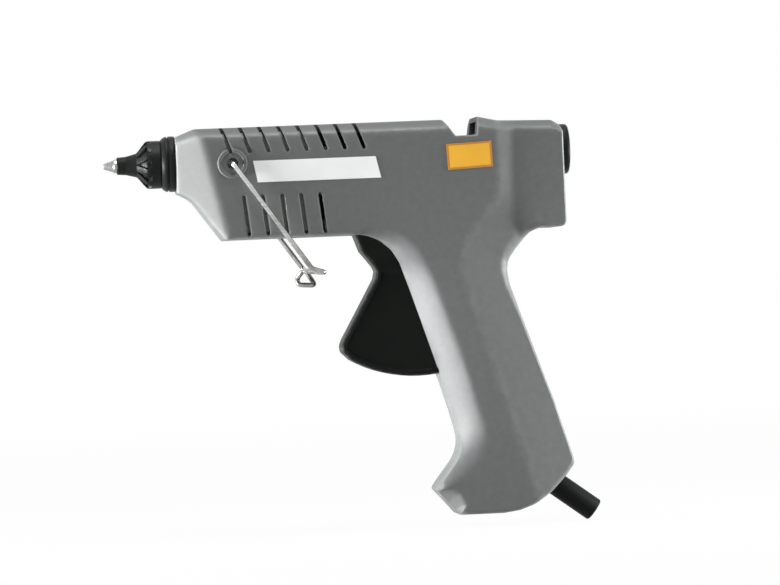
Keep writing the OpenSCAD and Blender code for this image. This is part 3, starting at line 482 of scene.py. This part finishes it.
# Tubes from each screw head's seat out to one side's skin, whose slope their rims follow
def screwTubes(inner, outer, side, lines):
    h = housing
    floor = h["screwFloor"]
    tubes = []
    for x, z in h["screws"]:
        profile = [(1, inner), (0, inner), (0, outer), (1, outer)]
        verts, faces = turned(profile, h["holePoints"], (x, 0, z), (0, side, 0))
        rim = side * (housingSide(verts[:, [0, 2]], lines) - h["tubeUnder"])
        verts[:, 1] = floor + np.abs(verts[:, 1]) * (rim - floor)
        tubes.append((verts, faces))
    return joined(tubes)


# Painted highlight mixed with wear, marked where a bevel starts or a rounded edge ends and along the crease, as a
# bell curve of the distance, fading below the side
def housingWearAndHighlight(places, lines):
    h = housing
    flat = places[:, [0, 2]]
    toneMark = np.zeros(len(flat))
    for name, (line, wide, slopes) in zip(h["edges"], lines):
        if name in h["noWearHighlight"]:
            continue
        far, held = nearestOn(flat, line, wide)
        off = far - held if name in h["ridges"] else far
        toneMark = np.maximum(toneMark, np.exp(-(off / (h["wearHighlightReach"] + h["wearHighlightShare"] * held)) ** 2))
    # painted highlight alone along the crease
    crease = nearestOn(flat, creaseLine())[0]
    toneMark = np.maximum(toneMark, h["creaseHighlight"] * np.exp(-(crease / h["creaseReach"]) ** 2))
    near = toneMark > h["leastWearHighlight"]
    below = housingSide(flat[near], lines) - np.abs(places[near, 1])
    toneMark[near] *= np.exp(-(below / h["wearHighlightUnder"]) ** 2)
    return toneMark


def buildHousing():
    h = housing
    lines = housingEdges()
    loop = np.vstack([line[:-1] for line, wide, slopes in lines])
    made = []
    for name, node, side in (("housingNear", "left_housing", -1), ("housingFar", "right_housing", 1)):
        holes = housingHoles(side)
        inner = housingInner(loop, lines, holes)
        half = mouldedHalf(side, loop, holes, inner, lambda p: housingSide(p, lines), h["rows"],
                           housingOpened, h["groove"])
        piece = putIn(name, half, "gun", "housing_grey", [node])
        # painted highlight mixed with wear along the ridges, the crease and the rounded edges
        keepToneMark(piece, lambda p: housingWearAndHighlight(p, lines))
        wallInside(piece, h["wall"])
        made.append(piece)
    wells = screwTubes(h["screwHole"], h["screwHole"] + h["wellWall"], 1, lines)
    posts = screwTubes(h["postHole"], h["postRadius"], -1, lines)
    made.append(putIn("screwWells", wells, "gun", "housing_grey", ["right_housing"]))
    made.append(putIn("screwPosts", posts, "gun", "housing_grey", ["left_housing"]))
    return made


housingPieces = buildHousing()
print("housing halves:", [len(p.data.polygons) for p in housingPieces], "faces")

# Trigger: hollow moulding, open at the back, with a raised rim along its finger face and its lower edge
trigger = {
    # outline as x, z and corner radius, with an arc below and the beak above about the pivot
    "pivot": (151.7, -46.4), "radius": 64.0, "sweep": (239, 282, 12), "beakRadius": 30.5, "beak": (136, 163, 7),
    "front": [(126, -47.3, 1), (132, -55, 2), (133.2, -57.4, 2), (132.4, -61.4, 5), (124.4, -75.4, 40),
              (115.7, -90.5, 8), (114.2, -93.9, 4), (114.7, -97.2, 3)],
    "back": [(162.7, -72.4, 4), (158.7, -51.4, 4), (155.7, -41.4, 2), (146.7, -40.4, 2)],
    "half": 11.0, "edge": 1.5, "wall": 2.0, "pinHole": 2.56,
    "rim": 2.6, "recess": 0.8, "recessRound": 0.7, "recessTop": -58.0,
    "openFrom": 157.5, "openTop": -50.0, "openHalf": 8.4,
    # rows and points of the mesh, and how far its edges carry a painted highlight mixed with wear
    "rows": (12, 9.5, 8, 6, 4, 2, 0), "edgeTurns": (30, 60, 90), "rimRows": (0, 0.35, 0.75),
    "field": 1.5, "step": 1.2, "gap": 0.3, "holePoints": 28, "wearHighlightReach": 0.9, "wearHighlightUnder": 1.0,
    "armWidth": 2.0, "hub": 6.0, "armEnd": 3.6, "armPoints": 17,
}


def arcRound(middle, radius, first, last, count):  # points of an arc, with no corner radius
    turn = np.radians(np.linspace(first, last, count))
    return np.stack([middle[0] + radius * np.cos(turn), middle[1] + radius * np.sin(turn), np.zeros(count)], 1)


def triggerLoop():
    t = trigger
    corners = np.vstack([t["front"], arcRound(t["pivot"], t["radius"], *t["sweep"]), t["back"],
                         arcRound(t["pivot"], t["beakRadius"], *t["beak"])])[::-1]
    return evenlySpaced(roundedPath(corners[:, :2], corners[:, 2]), t["step"])


def triggerSide(points, closed):  # half width less a round edge, and less the recess inside the rim
    t = trigger
    far = nearestOn(points, closed)[0]
    deep = np.clip(t["edge"] - far, 0, None)
    drop = t["edge"] - np.sqrt(np.maximum(t["edge"] ** 2 - deep ** 2, 0))
    into = np.minimum(far - t["rim"], t["recessTop"] - points[:, 1])
    return t["half"] - drop - t["recess"] * smoothStep(into / t["recessRound"])


def triggerOpened(p):  # the back, behind the pivot
    t = trigger
    return (p[:, 0] > t["openFrom"]) & (p[:, 2] < t["openTop"]) & (np.abs(p[:, 1]) < t["openHalf"])


def triggerArms():  # two flat arms from the hub to the feed pin, each a loop of tangent circles
    t = trigger
    low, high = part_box("feed_pin")
    pin = np.array([low[0] + high[0], low[2] + high[2]]) / 2 / mm
    hub = np.array(t["pivot"])
    lean = math.atan2(*(pin - hub)[::-1])
    turn = np.linspace(math.pi / 2, 3 * math.pi / 2, t["armPoints"]) + lean
    way = np.stack([np.cos(turn), np.sin(turn)], 1)
    outer = np.vstack([hub + t["hub"] * way, pin - t["armEnd"] * way])
    count = len(outer)
    a = np.arange(count)
    b = a + count
    arms = []
    for side in (-1, 1):
        y = np.repeat([side * t["half"], side * (t["half"] - t["armWidth"])], count)
        verts = np.stack([np.tile(outer[:, 0], 2), y, np.tile(outer[:, 1], 2)], 1)
        walls = np.stack([a, np.roll(a, -1), np.roll(b, -1), b], 1)
        caps = np.stack([a, b[::-1]])
        arms.append((verts, walls[:, ::-1], caps) if side < 0 else (verts, walls, caps[:, ::-1]))
    return joined(arms)


def triggerWearAndHighlight(places, closed):  # painted highlight mixed with wear: bell curve of the distance from the outline, on the outer skin alone
    t = trigger
    far = nearestOn(places[:, [0, 2]], closed)[0]
    return np.exp(-(far / t["wearHighlightReach"]) ** 2) * (np.abs(places[:, 1]) > t["half"] - t["edge"] - t["wearHighlightUnder"])


def buildTrigger():
    t = trigger
    loop = triggerLoop()
    closed = closedLine(loop)
    holes = [ring(t["pivot"], t["pinHole"], t["holePoints"])]
    found = [edgeRows(closed, np.full(len(closed), t["edge"]), t["edgeTurns"])]
    found += [edgeRows(closed, np.full(len(closed), t["rim"] + off), (90,)) for off in t["rimRows"]]
    found.append(fieldOf(loop.min(0), loop.max(0), t["field"]))
    inner = np.vstack(found)
    inner = spaced(inner[insideLoop(inner, loop)], [loop] + holes, t["gap"])
    halves = [mouldedHalf(side, loop, holes, inner, lambda p: triggerSide(p, closed), t["rows"], triggerOpened)
              for side in (-1, 1)]
    body = putIn("triggerBody", joined(halves), "trigger", "trigger_black", ["trigger"])
    # painted highlight mixed with wear along the trigger's edges
    keepToneMark(body, lambda p: triggerWearAndHighlight(p, closed))
    wallInside(body, t["wall"])
    arms = putIn("triggerArms", triggerArms(), "trigger", "trigger_black", ["trigger"])
    return [body, arms]


triggerPieces = buildTrigger()
print("trigger:", [len(p.data.polygons) for p in triggerPieces], "faces")

# Nozzle end: bare tip, insulating cap with leaf-shaped flutes, and the collar against the nose
nozzle = {
    "tip": [(0, 0.75), (0, 1.3), (0.25, 1.45), (4.6, 2.9), (5.2, 3.4), (9, 3.4), (9, 0.75)],
    "tipStep": 0.5, "tipPoints": 64,
    "cap": [(6.5, 3.45), (6.5, 3.95), (6.9, 4.3), (12, 4.65), (15, 5.3), (16.3, 5.95), (17.6, 7.3), (19.4, 9.6),
            (20.8, 11.2), (21.6, 11.75), (22.4, 11.9), (27.9, 11.9), (28.4, 11.6), (28.4, 9)],
    "capStep": 0.35, "capPoints": 240, "capSkin": 3.9,
    # flutes: place along the cap, depth and how fast it is reached, share of the pitch, where they are widest
    "flutes": 10, "fluteFrom": 14.6, "fluteTo": 23.6, "fluteDeep": 2.1, "fluteRise": 6, "fluteShare": 0.36,
    "fluteWidest": 0.78, "fluteSoft": 0.16, "fluteOut": 0.2,
    "collar": [(28.5, 9), (28.5, 12), (28.8, 12.4), (30.2, 13.45), (31.2, 13.75), (31.6, 13.6), (31.8, 13.2),
               (32.1, 13.2), (32.3, 13.7), (32.6, 13.85), (35, 13.85), (35.5, 13.6), (35.5, 9)],
    "collarPoints": 96,
}


def finnedCap():  # radius of the outer skin less the flute's depth, which fades to its pointed and round ends
    n = nozzle
    profile = evenlySpaced(n["cap"], n["capStep"], closed=False)
    x, r = profile[:, :1], profile[:, 1:]
    turn = around(n["capPoints"])[None]
    pitch = fullTurn / n["flutes"]
    fromEdge = 1 - np.abs((turn / pitch) % 1 - 0.5) / 0.5
    t = np.clip((x - n["fluteFrom"]) / (n["fluteTo"] - n["fluteFrom"]), 0, 1)
    widest = n["fluteWidest"]
    closing = np.sqrt(np.clip((1 - t) / (1 - widest), 0, 1))
    share = 2 * n["fluteShare"] * np.where(t < widest, t / widest, closing)
    edge = smoothStep((share - fromEdge) / n["fluteSoft"] + n["fluteOut"])
    deep = n["fluteDeep"] * np.minimum(1, n["fluteRise"] * t) * edge
    outside = (r > n["capSkin"]) & (x > n["fluteFrom"]) & (x < n["fluteTo"])
    radius = r - np.where(outside, deep, 0)
    verts = np.stack([x + 0 * radius, -radius * np.cos(turn), radius * np.sin(turn)], 2).reshape(-1, 3)
    return verts, gridFaces(len(profile), n["capPoints"])


def buildNozzle():
    n = nozzle
    tip = turned(evenlySpaced(n["tip"], n["tipStep"], closed=False), n["tipPoints"])
    collar = turned(n["collar"], n["collarPoints"])
    return [putIn("nozzleTip", tip, "gun", "nozzle_steel", ["nozzle_tip"]),
            putIn("nozzleCap", finnedCap(), "gun", "black_insulator", ["nozzle_cap"]),
            putIn("noseCollar", collar, "gun", "black_insulator", ["nose_collar"])]


nozzlePieces = buildNozzle()
print("nozzle end:", len(nozzlePieces), "pieces")

# Rear collar round the stick inlet, and the bend sleeve at the heel
rearFittings = {
    "inlet": [(220.6, 9.4), (220.6, 11.3), (227.9, 11.3), (228, 12.1), (228.3, 12.4), (228.8, 12.5), (231, 12.5),
              (231.9, 12.3), (232.5, 11.7), (232.7, 11), (232.7, 10.1), (232.3, 9.6), (231.8, 9.4)],
    "inletPoints": 96,
    "sleeve": [(-9, 3.6), (-9, 7.4), (-6, 7.4), (-6, 5.85), (23, 5.85), (23.7, 5.6), (24, 5.1), (24, 3.6)],
    "sleevePoints": 64,
}


def buildRear():
    r = rearFittings
    (x, z), (aheadX, aheadZ) = housing["sleeveAt"], housing["sleeveAhead"]
    inlet = turned(r["inlet"], r["inletPoints"])
    sleeve = turned(r["sleeve"], r["sleevePoints"], (x, 0, z), (aheadX, 0, aheadZ))
    return [putIn("inletCollar", inlet, "gun", "black_insulator", ["inlet_collar"]),
            putIn("cableSleeve", sleeve, "gun", "sleeve_rubber", ["cable_sleeve"])]


rearPieces = buildRear()

# Printed edge of the small label: a flat frame on the plate, turned with it
labelFrame = {"middle": (180.5, -2.0), "size": (22.4, 12.8), "turn": 2.4, "edge": 1.0, "out": 25.36,
              "inset": 0.1, "thick": 0.08}


def buildLabelFrame():  # two rectangles, outer and inner, joined by four flat faces with a thin edge
    f = labelFrame
    corners = np.array([(-0.5, -0.5), (0.5, -0.5), (0.5, 0.5), (-0.5, 0.5)])
    size = np.array(f["size"])
    flat = np.vstack([corners * (size - f["inset"]), corners * (size - 2 * f["edge"])])
    c, s = math.cos(math.radians(f["turn"])), math.sin(math.radians(f["turn"]))
    flat = np.tile(flat @ np.array([[c, s], [-s, c]]) + f["middle"], (2, 1))
    y = np.repeat([-f["out"], f["thick"] - f["out"]], len(flat) // 2)
    verts = np.stack([flat[:, 0], y, flat[:, 1]], 1)
    ids = np.arange(4)
    over = (ids + 1) % 4
    faces = np.vstack([np.stack([ids, over, over + 4, ids + 4], 1),
                       np.stack([ids + 8, ids + 12, over + 12, over + 8], 1),
                       np.stack([ids, ids + 8, over + 8, over], 1),
                       np.stack([ids + 4, over + 4, over + 12, ids + 12], 1)])
    return putIn("ratingFrame", (verts, faces), "gun", "amber_label")


framePiece = buildLabelFrame()

# Stand: round wire bent from one pivot hole round the foot to the other
stand = {
    "path": [(62.7, -23, -1.5), (62.7, -28.2, -1.5), (99.6, -28.2, -55.0), (105.6, -28.2, -57.0),
             (105.6, -19, -57.0), (98.4, 17, -55.6), (95.4, 19, -59.6), (96.2, 17, -62.6), (104.4, 17, -63.2),
             (100.8, 24, -56.4), (99.6, 28.2, -55.0), (62.7, 28.2, -1.5), (62.7, 23, -1.5)],
    "bends": [0, 2.9, 3, 2, 3, 3, 3, 1.6, 1.6, 3, 3, 2.9, 0], "bendSteps": 9, "wire": 1.25, "points": 16,
    "helper": (0.8, 0, 0.6), "sharp": 60,
    "footTop": -47.0, "footFade": 9.0,  # the wire is darker and rougher below this height
}


def buildStand():  # circle carried along the bent path, with a flat cap at each end
    s = stand
    count = s["points"]
    line = roundedPath(s["path"], s["bends"], closed=False, steps=s["bendSteps"])
    line = line[np.r_[True, np.diff(alongOf(line)) > meshing["same"]]]
    ahead = unit(np.gradient(line, axis=0))
    u = unit(np.cross(s["helper"], ahead))
    v = np.cross(ahead, u)
    turn = around(count)[None, :, None]
    verts = line[:, None] + s["wire"] * (np.cos(turn) * u[:, None] + np.sin(turn) * v[:, None])
    ids = np.arange(count)
    caps = np.stack([ids[::-1], (len(line) - 1) * count + ids])
    shape = (verts.reshape(-1, 3), gridFaces(len(line), count, False), caps)
    piece = putIn("standWire", shape, "stand", "bright_wire", ["stand_wire"], s["sharp"])
    # darker and rougher wire towards the foot
    keepToneMark(piece, lambda p: smoothStep((s["footTop"] - p[:, 2]) / s["footFade"]))
    return piece


standPiece = buildStand()
print("rear fittings and stand in place")


# Shared effects as node groups; the helpers take and give the sockets of nodes
def newGroup(name, ins, outs):  # an empty effect, with the nodes for what goes in, what comes out and the place
    group = bpy.data.node_groups.new(name, "ShaderNodeTree")
    for socketName, value in ins.items():
        socket = group.interface.new_socket(socketName, in_out="INPUT", socket_type="NodeSocketFloat")
        socket.default_value = value
    for socketName in outs:
        group.interface.new_socket(socketName, in_out="OUTPUT", socket_type="NodeSocketFloat")
    start, end = group.nodes.new("NodeGroupInput"), group.nodes.new("NodeGroupOutput")
    coords = group.nodes.new("ShaderNodeTexCoord")
    return group, start.outputs, end.inputs, coords.outputs["Object"]


def fill(tree, socket, value):  # a number or colour is set, a socket is linked
    if isinstance(value, bpy.types.NodeSocket):
        tree.links.new(value, socket)
    else:
        socket.default_value = value


def noiseOf(tree, place, scale, detail):
    noise = tree.nodes.new("ShaderNodeTexNoise")
    for name, value in (("Vector", place), ("Scale", scale), ("Detail", detail)):
        fill(tree, noise.inputs[name], value)
    return noise.outputs["Fac"]


def mathOf(tree, operation, *values, clamped=False):
    node = tree.nodes.new("ShaderNodeMath")
    node.operation = operation
    node.use_clamp = clamped
    for socket, value in zip(node.inputs, values):
        fill(tree, socket, value)
    return node.outputs["Value"]


def rangeOf(tree, value, low, high, toLow, toHigh):
    node = tree.nodes.new("ShaderNodeMapRange")
    names = ("Value", "From Min", "From Max", "To Min", "To Max")
    for name, given in zip(names, (value, low, high, toLow, toHigh)):
        fill(tree, node.inputs[name], given)
    return node.outputs["Result"]


# Fine moulded grain: two sizes of noise, one as a height and one as a mask
def grainGroup():
    group, given, out, place = newGroup("mouldedGrain", {"Fine": 2600.0, "Mottle": 55.0}, ("Height", "Mask"))
    fill(group, out["Height"], noiseOf(group, place, given["Fine"], 2))
    fill(group, out["Mask"], noiseOf(group, place, given["Mottle"], 4))
    return group


# Drawn or turned lines: noise stretched along X, as a height and a mask
def brushGroup():
    group, given, out, place = newGroup("toolLines", {"Across": 900.0, "Along": 40.0}, ("Height", "Mask"))
    scale = group.nodes.new("ShaderNodeCombineXYZ")
    for axis, name in (("X", "Along"), ("Y", "Across"), ("Z", "Across")):
        fill(group, scale.inputs[axis], given[name])
    stretch = group.nodes.new("ShaderNodeVectorMath")
    stretch.operation = "MULTIPLY"
    fill(group, stretch.inputs[0], place)
    fill(group, stretch.inputs[1], scale.outputs["Vector"])
    lines = noiseOf(group, stretch.outputs["Vector"], 1, 2)
    fill(group, out["Height"], lines)
    fill(group, out["Mask"], lines)
    return group


# Edge mark: the mark kept on the mesh (painted highlight mixed with wear on the housing and trigger, a darker foot
# on the stand wire), broken up by patches of noise and held between 0 and 1
toneMarkNoise = {"patches": 160.0, "detail": 3, "noiseFrom": 0.35, "noiseTo": 0.6, "least": 0.45}


def toneMarkGroup():
    group, given, out, place = newGroup("toneMarkPatches", {"ToneMark": 0.0, "Patches": toneMarkNoise["patches"]}, ("Mask",))
    patches = noiseOf(group, place, given["Patches"], toneMarkNoise["detail"])
    spread = rangeOf(group, patches, toneMarkNoise["noiseFrom"], toneMarkNoise["noiseTo"], toneMarkNoise["least"], 1)
    fill(group, out["Mask"], mathOf(group, "MULTIPLY", given["ToneMark"], spread, clamped=True))
    return group


effects = {"grain": grainGroup(), "lines": brushGroup(), "toneMarkNoise": toneMarkGroup()}

# Finishes by material slot: colour (linear) and its spread, roughness and its spread, metal, effect and its
# two sizes, bump, shine, and the colour and polish where the mesh is marked (painted highlight with wear, or the
# darker foot)
finishes = {
    # the housing's marked colour is lighter than its own: painted highlight along ridges and crease, mixed with
    # wear
    "housing_grey": dict(colour=(0.110, 0.116, 0.115), spread=0.07, rough=0.54, roughSpread=0.10, effect="grain",
                         values=(2300, 320), shine=0.4, bump=0.10, toneMarked=((0.19, 0.198, 0.197), 0.16)),
    # the trigger's marked colour is lighter than its own: painted highlight along its edges, mixed with wear
    "trigger_black": dict(colour=(0.0042, 0.0052, 0.0044), spread=0.25, rough=0.42, roughSpread=0.12,
                          effect="grain", values=(2600, 60), shine=0.08, bump=0.10,
                          toneMarked=((0.009, 0.0105, 0.0095), 0.06)),
    "black_insulator": dict(colour=(0.007, 0.0085, 0.0075), spread=0.25, rough=0.40, roughSpread=0.14,
                            effect="grain", values=(2400, 80), shine=0.10, bump=0.10),
    "sleeve_rubber": dict(colour=(0.0045, 0.0055, 0.005), spread=0.25, rough=0.52, roughSpread=0.12,
                          effect="grain", values=(2200, 70), shine=0.08, bump=0.12),
    "nozzle_steel": dict(colour=(0.36, 0.36, 0.35), spread=0.20, rough=0.30, roughSpread=0.16, metal=1.0,
                         effect="lines", values=(300, 2500), bump=0.06),
    # the wire's marked colour is darker and rougher, on its foot
    "bright_wire": dict(colour=(0.60, 0.60, 0.59), spread=0.12, rough=0.20, roughSpread=0.10, metal=1.0,
                        effect="lines", values=(900, 60), bump=0.03, toneMarked=((0.17, 0.17, 0.165), -0.12)),
    "zinc_steel": dict(colour=(0.55, 0.55, 0.56), spread=0.2, rough=0.32, roughSpread=0.14, metal=1.0,
                       effect="grain", values=(1500, 300), bump=0.05),
    "spring_steel": dict(colour=(0.48, 0.48, 0.49), spread=0.2, rough=0.30, roughSpread=0.12, metal=1.0,
                         effect="lines", values=(900, 120), bump=0.04),
    "cast_aluminium": dict(colour=(0.55, 0.55, 0.54), spread=0.22, rough=0.48, roughSpread=0.16, metal=1.0,
                           effect="grain", values=(1300, 120), bump=0.16),
    "heater_steel": dict(colour=(0.42, 0.40, 0.37), spread=0.25, rough=0.38, roughSpread=0.16, metal=1.0,
                         effect="lines", values=(700, 40), bump=0.05),
    "thermostat_metal": dict(colour=(0.60, 0.58, 0.53), spread=0.2, rough=0.34, roughSpread=0.14, metal=1.0,
                             effect="grain", values=(1500, 200), bump=0.05),
    "shield_steel": dict(colour=(0.10, 0.10, 0.098), spread=0.18, rough=0.55, roughSpread=0.16, metal=1.0,
                         effect="lines", values=(600, 30), bump=0.05),
    "support_board": dict(colour=(0.46, 0.42, 0.34), spread=0.25, rough=0.75, roughSpread=0.12, effect="lines",
                          values=(500, 90), bump=0.18),
    "silicone": dict(colour=(0.10, 0.022, 0.014), spread=0.12, rough=0.55, roughSpread=0.1, effect="grain",
                     values=(1500, 70), bump=0.06),
    "guide_plastic": dict(colour=(0.04, 0.042, 0.043), spread=0.2, rough=0.45, roughSpread=0.1, effect="grain",
                          values=(2300, 60), bump=0.08),
    "white_label": dict(colour=(0.86, 0.87, 0.87), spread=0.03, rough=0.38, roughSpread=0.08, effect="grain",
                        values=(1800, 60), bump=0.03),
    "amber_label": dict(colour=(0.80, 0.42, 0.03), spread=0.06, rough=0.38, roughSpread=0.08, effect="grain",
                        values=(1800, 60), bump=0.03),
    "label_print": dict(colour=(0.50, 0.20, 0.025), spread=0.08, rough=0.38, roughSpread=0.08, effect="grain",
                        values=(1800, 60), bump=0.03),
    "terminal_plastic": dict(colour=(0.70, 0.68, 0.62), spread=0.1, rough=0.5, roughSpread=0.1, effect="grain",
                             values=(2000, 70), bump=0.06),
    "terminal_brass": dict(colour=(0.62, 0.44, 0.17), spread=0.2, rough=0.32, roughSpread=0.12, metal=1.0,
                           effect="grain", values=(1500, 200), bump=0.05),
    "lead_insulation": dict(colour=(0.03, 0.03, 0.028), spread=0.15, rough=0.6, roughSpread=0.1, effect="grain",
                            values=(1800, 90), bump=0.1),
}
maskLow, maskHigh = 0.3, 0.7  # span of an effect's mask that carries the spread
bumpDeep = 0.0003


def effectIn(tree, name):
    node = tree.nodes.new("ShaderNodeGroup")
    node.node_tree = effects[name]
    return node


# Colour and roughness run between a lower and a higher value with the effect's mask, and its height makes the bump
def finishMaterial(slotName, f):
    material = bpy.data.materials.new(slotName)
    material.use_nodes = True
    tree = material.node_tree
    shader = tree.nodes["Principled BSDF"].inputs
    effect = effectIn(tree, f["effect"])
    for socket, value in zip(effect.inputs, f["values"]):
        socket.default_value = value
    mask = effect.outputs["Mask"]
    base = np.array(f["colour"])
    ramp = tree.nodes.new("ShaderNodeValToRGB")
    darker, lighter = ramp.color_ramp.elements
    darker.position, lighter.position = maskLow, maskHigh
    darker.color = (*(base * (1 - f["spread"])), 1)
    lighter.color = (*np.minimum(base * (1 + f["spread"]), 1), 1)
    fill(tree, ramp.inputs["Fac"], mask)
    colour = ramp.outputs["Color"]
    half = f["roughSpread"] / 2
    rough = rangeOf(tree, mask, maskLow, maskHigh, f["rough"] - half, f["rough"] + half)
    if "toneMarked" in f:
        colour, rough = markedTone(tree, colour, rough, *f["toneMarked"])
    fill(tree, shader["Base Color"], colour)
    fill(tree, shader["Roughness"], rough)
    bump = tree.nodes.new("ShaderNodeBump")
    bump.inputs["Strength"].default_value = f["bump"]
    bump.inputs["Distance"].default_value = bumpDeep
    fill(tree, bump.inputs["Height"], effect.outputs["Height"])
    fill(tree, shader["Normal"], bump.outputs["Normal"])
    shader["Metallic"].default_value = f.get("metal", 0.0)
    shader["Specular IOR Level"].default_value = f.get("shine", 0.5)
    return material


def markedTone(tree, colour, rough, markColour, polish):  # another colour and gloss where the mesh is marked: painted highlight mixed with wear on housing and trigger edges, a darker foot on the stand wire
    toneMark = tree.nodes.new("ShaderNodeAttribute")
    toneMark.attribute_name = "toneMark"
    toneMarked = effectIn(tree, "toneMarkNoise")
    fill(tree, toneMarked.inputs["ToneMark"], toneMark.outputs["Fac"])
    mask = toneMarked.outputs["Mask"]
    mix = tree.nodes.new("ShaderNodeMixRGB")
    for name, value in (("Fac", mask), ("Color1", colour), ("Color2", (*markColour, 1))):
        fill(tree, mix.inputs[name], value)
    return mix.outputs["Color"], mathOf(tree, "MULTIPLY_ADD", mask, -polish, rough)


materials = {name: finishMaterial(name, f) for name, f in finishes.items()}
slotOf = {part["node"]: part["material_slot"] for part in frame["record"]["subparts"]}


def dress(piece, material):
    piece.data.materials.clear()
    piece.data.materials.append(material)


madePieces = housingPieces + triggerPieces + nozzlePieces + rearPieces + [standPiece, framePiece]
for piece in madePieces:
    dress(piece, materials["label_print" if piece == framePiece else piece["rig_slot"]])
for name, piece in nodes.items():
    dress(piece, materials[slotOf[name]])
print("finishes:", len(materials), "materials on", len(madePieces) + len(nodes), "pieces")

# Studio in metres: pale floor, soft lamps, camera square on the near side and a little round towards the nose
studio = {
    "target": (0.14035, 0, -0.06836), "azimuth": -5.2, "distance": 2.5, "viewWidth": 0.390, "roll": 0.0419,
    "sensor": 36, "fill": 0.13,
    # floor: height, half its side, paint, share of white, and how far away it starts and ends to turn all white
    "floor": -0.1865, "floorHalf": 4.0, "paint": 0.6, "paintRough": 0.9, "white": 0.96, "fade": (0.4, 2.4),
    # place, aim, watts, width and height, spread in degrees
    "lamps": [((-0.86, -0.08, -0.09), (0.14, 0, -0.07), 26.0, 0.4, 0.17, 180),
              ((-0.86, -0.09, -0.15), (0.155, -0.01, -0.090), 0.26, 0.3, 0.07, 12),
              ((0.14, -0.32, 0.82), (0.14, 0, -0.07), 4.5, 0.3, 0.3, 180),
              ((0.14, 0.0, 0.9), (0.14, 0, -0.07), 4.0, 0.6, 0.6, 180),
              ((1.10, -0.07, -0.08), (0.14, 0, -0.07), 21.0, 0.3, 0.3, 180)],
}


# A share of white to the camera, in reflections and through glass, and the plain shader to other light
def whiteForCamera(tree, plain, whiteKind, share):
    path = tree.nodes.new("ShaderNodeLightPath").outputs
    seen = mathOf(tree, "MAXIMUM", path["Is Camera Ray"], path["Is Transmission Ray"])
    seen = mathOf(tree, "MAXIMUM", seen, path["Is Glossy Ray"])
    white = tree.nodes.new(whiteKind)
    white.inputs["Color"].default_value = (1, 1, 1, 1)
    white.inputs["Strength"].default_value = 1.0
    mix = tree.nodes.new("ShaderNodeMixShader")
    shares = (mathOf(tree, "MULTIPLY", seen, share), plain.outputs[0], white.outputs[0])
    for socket, value in zip(mix.inputs, shares):
        fill(tree, socket, value)
    return mix.outputs["Shader"]


def addToScene(name, data):
    made = bpy.data.objects.new(name, data)
    bpy.context.scene.collection.objects.link(made)
    return made


def buildWorld():
    world = bpy.data.worlds.new("studio")
    bpy.context.scene.world = world
    world.use_nodes = True
    tree = world.node_tree
    plain = tree.nodes["Background"]
    plain.inputs["Color"].default_value = (1, 1, 1, 1)
    plain.inputs["Strength"].default_value = studio["fill"]
    shown = whiteForCamera(tree, plain, "ShaderNodeBackground", 1.0)
    fill(tree, tree.nodes["World Output"].inputs["Surface"], shown)


def buildFloor():
    s = studio
    half, low = s["floorHalf"], s["floor"]
    mesh = bpy.data.meshes.new("floor")
    corners = [(-half, -half, low), (half, -half, low), (half, half, low), (-half, half, low)]
    mesh.from_pydata(corners, [], [(0, 1, 2, 3)])
    addToScene("floor", mesh)
    paint = bpy.data.materials.new("floorPaint")
    paint.use_nodes = True
    tree = paint.node_tree
    shader = tree.nodes["Principled BSDF"]
    shader.inputs["Base Color"].default_value = (s["paint"], s["paint"], s["paint"], 1)
    shader.inputs["Roughness"].default_value = s["paintRough"]
    far = tree.nodes.new("ShaderNodeVectorMath")
    far.operation = "DISTANCE"
    fill(tree, far.inputs[0], tree.nodes.new("ShaderNodeTexCoord").outputs["Object"])
    far.inputs[1].default_value = (s["target"][0], 0, low)
    share = rangeOf(tree, far.outputs["Value"], *s["fade"], s["white"], 1)  # no edge shows where the floor ends
    shown = whiteForCamera(tree, shader, "ShaderNodeEmission", share)
    fill(tree, tree.nodes["Material Output"].inputs["Surface"], shown)
    mesh.materials.append(paint)


def buildLamps():
    for k, (place, aim, watts, width, height, spread) in enumerate(studio["lamps"]):
        data = bpy.data.lights.new(f"lamp{k}", "AREA")
        data.energy = watts
        data.shape = "RECTANGLE"
        data.size = width
        data.size_y = height
        data.spread = math.radians(spread)
        lamp = addToScene(f"lamp{k}", data)
        lamp.location = place
        lamp.rotation_euler = (Vector(aim) - Vector(place)).to_track_quat("-Z", "Y").to_euler()


def buildCamera():
    s = studio
    data = bpy.data.cameras.new("camera")
    data.sensor_width = s["sensor"]
    data.sensor_fit = "HORIZONTAL"
    data.lens = s["sensor"] * s["distance"] / s["viewWidth"]
    camera = addToScene("camera", data)
    turn = math.radians(s["azimuth"])
    back = Vector((math.sin(turn), -math.cos(turn), 0))
    right = Vector((s["roll"], 0, 1)).cross(back).normalized()
    up = back.cross(right).normalized()
    place = Matrix((right, up, back)).transposed().to_4x4()
    place.translation = Vector(s["target"]) + back * s["distance"]
    camera.matrix_world = place
    bpy.context.scene.camera = camera


bpy.context.scene.view_settings.view_transform = "Standard"
buildWorld()
buildFloor()
buildLamps()
buildCamera()
print("studio ready")
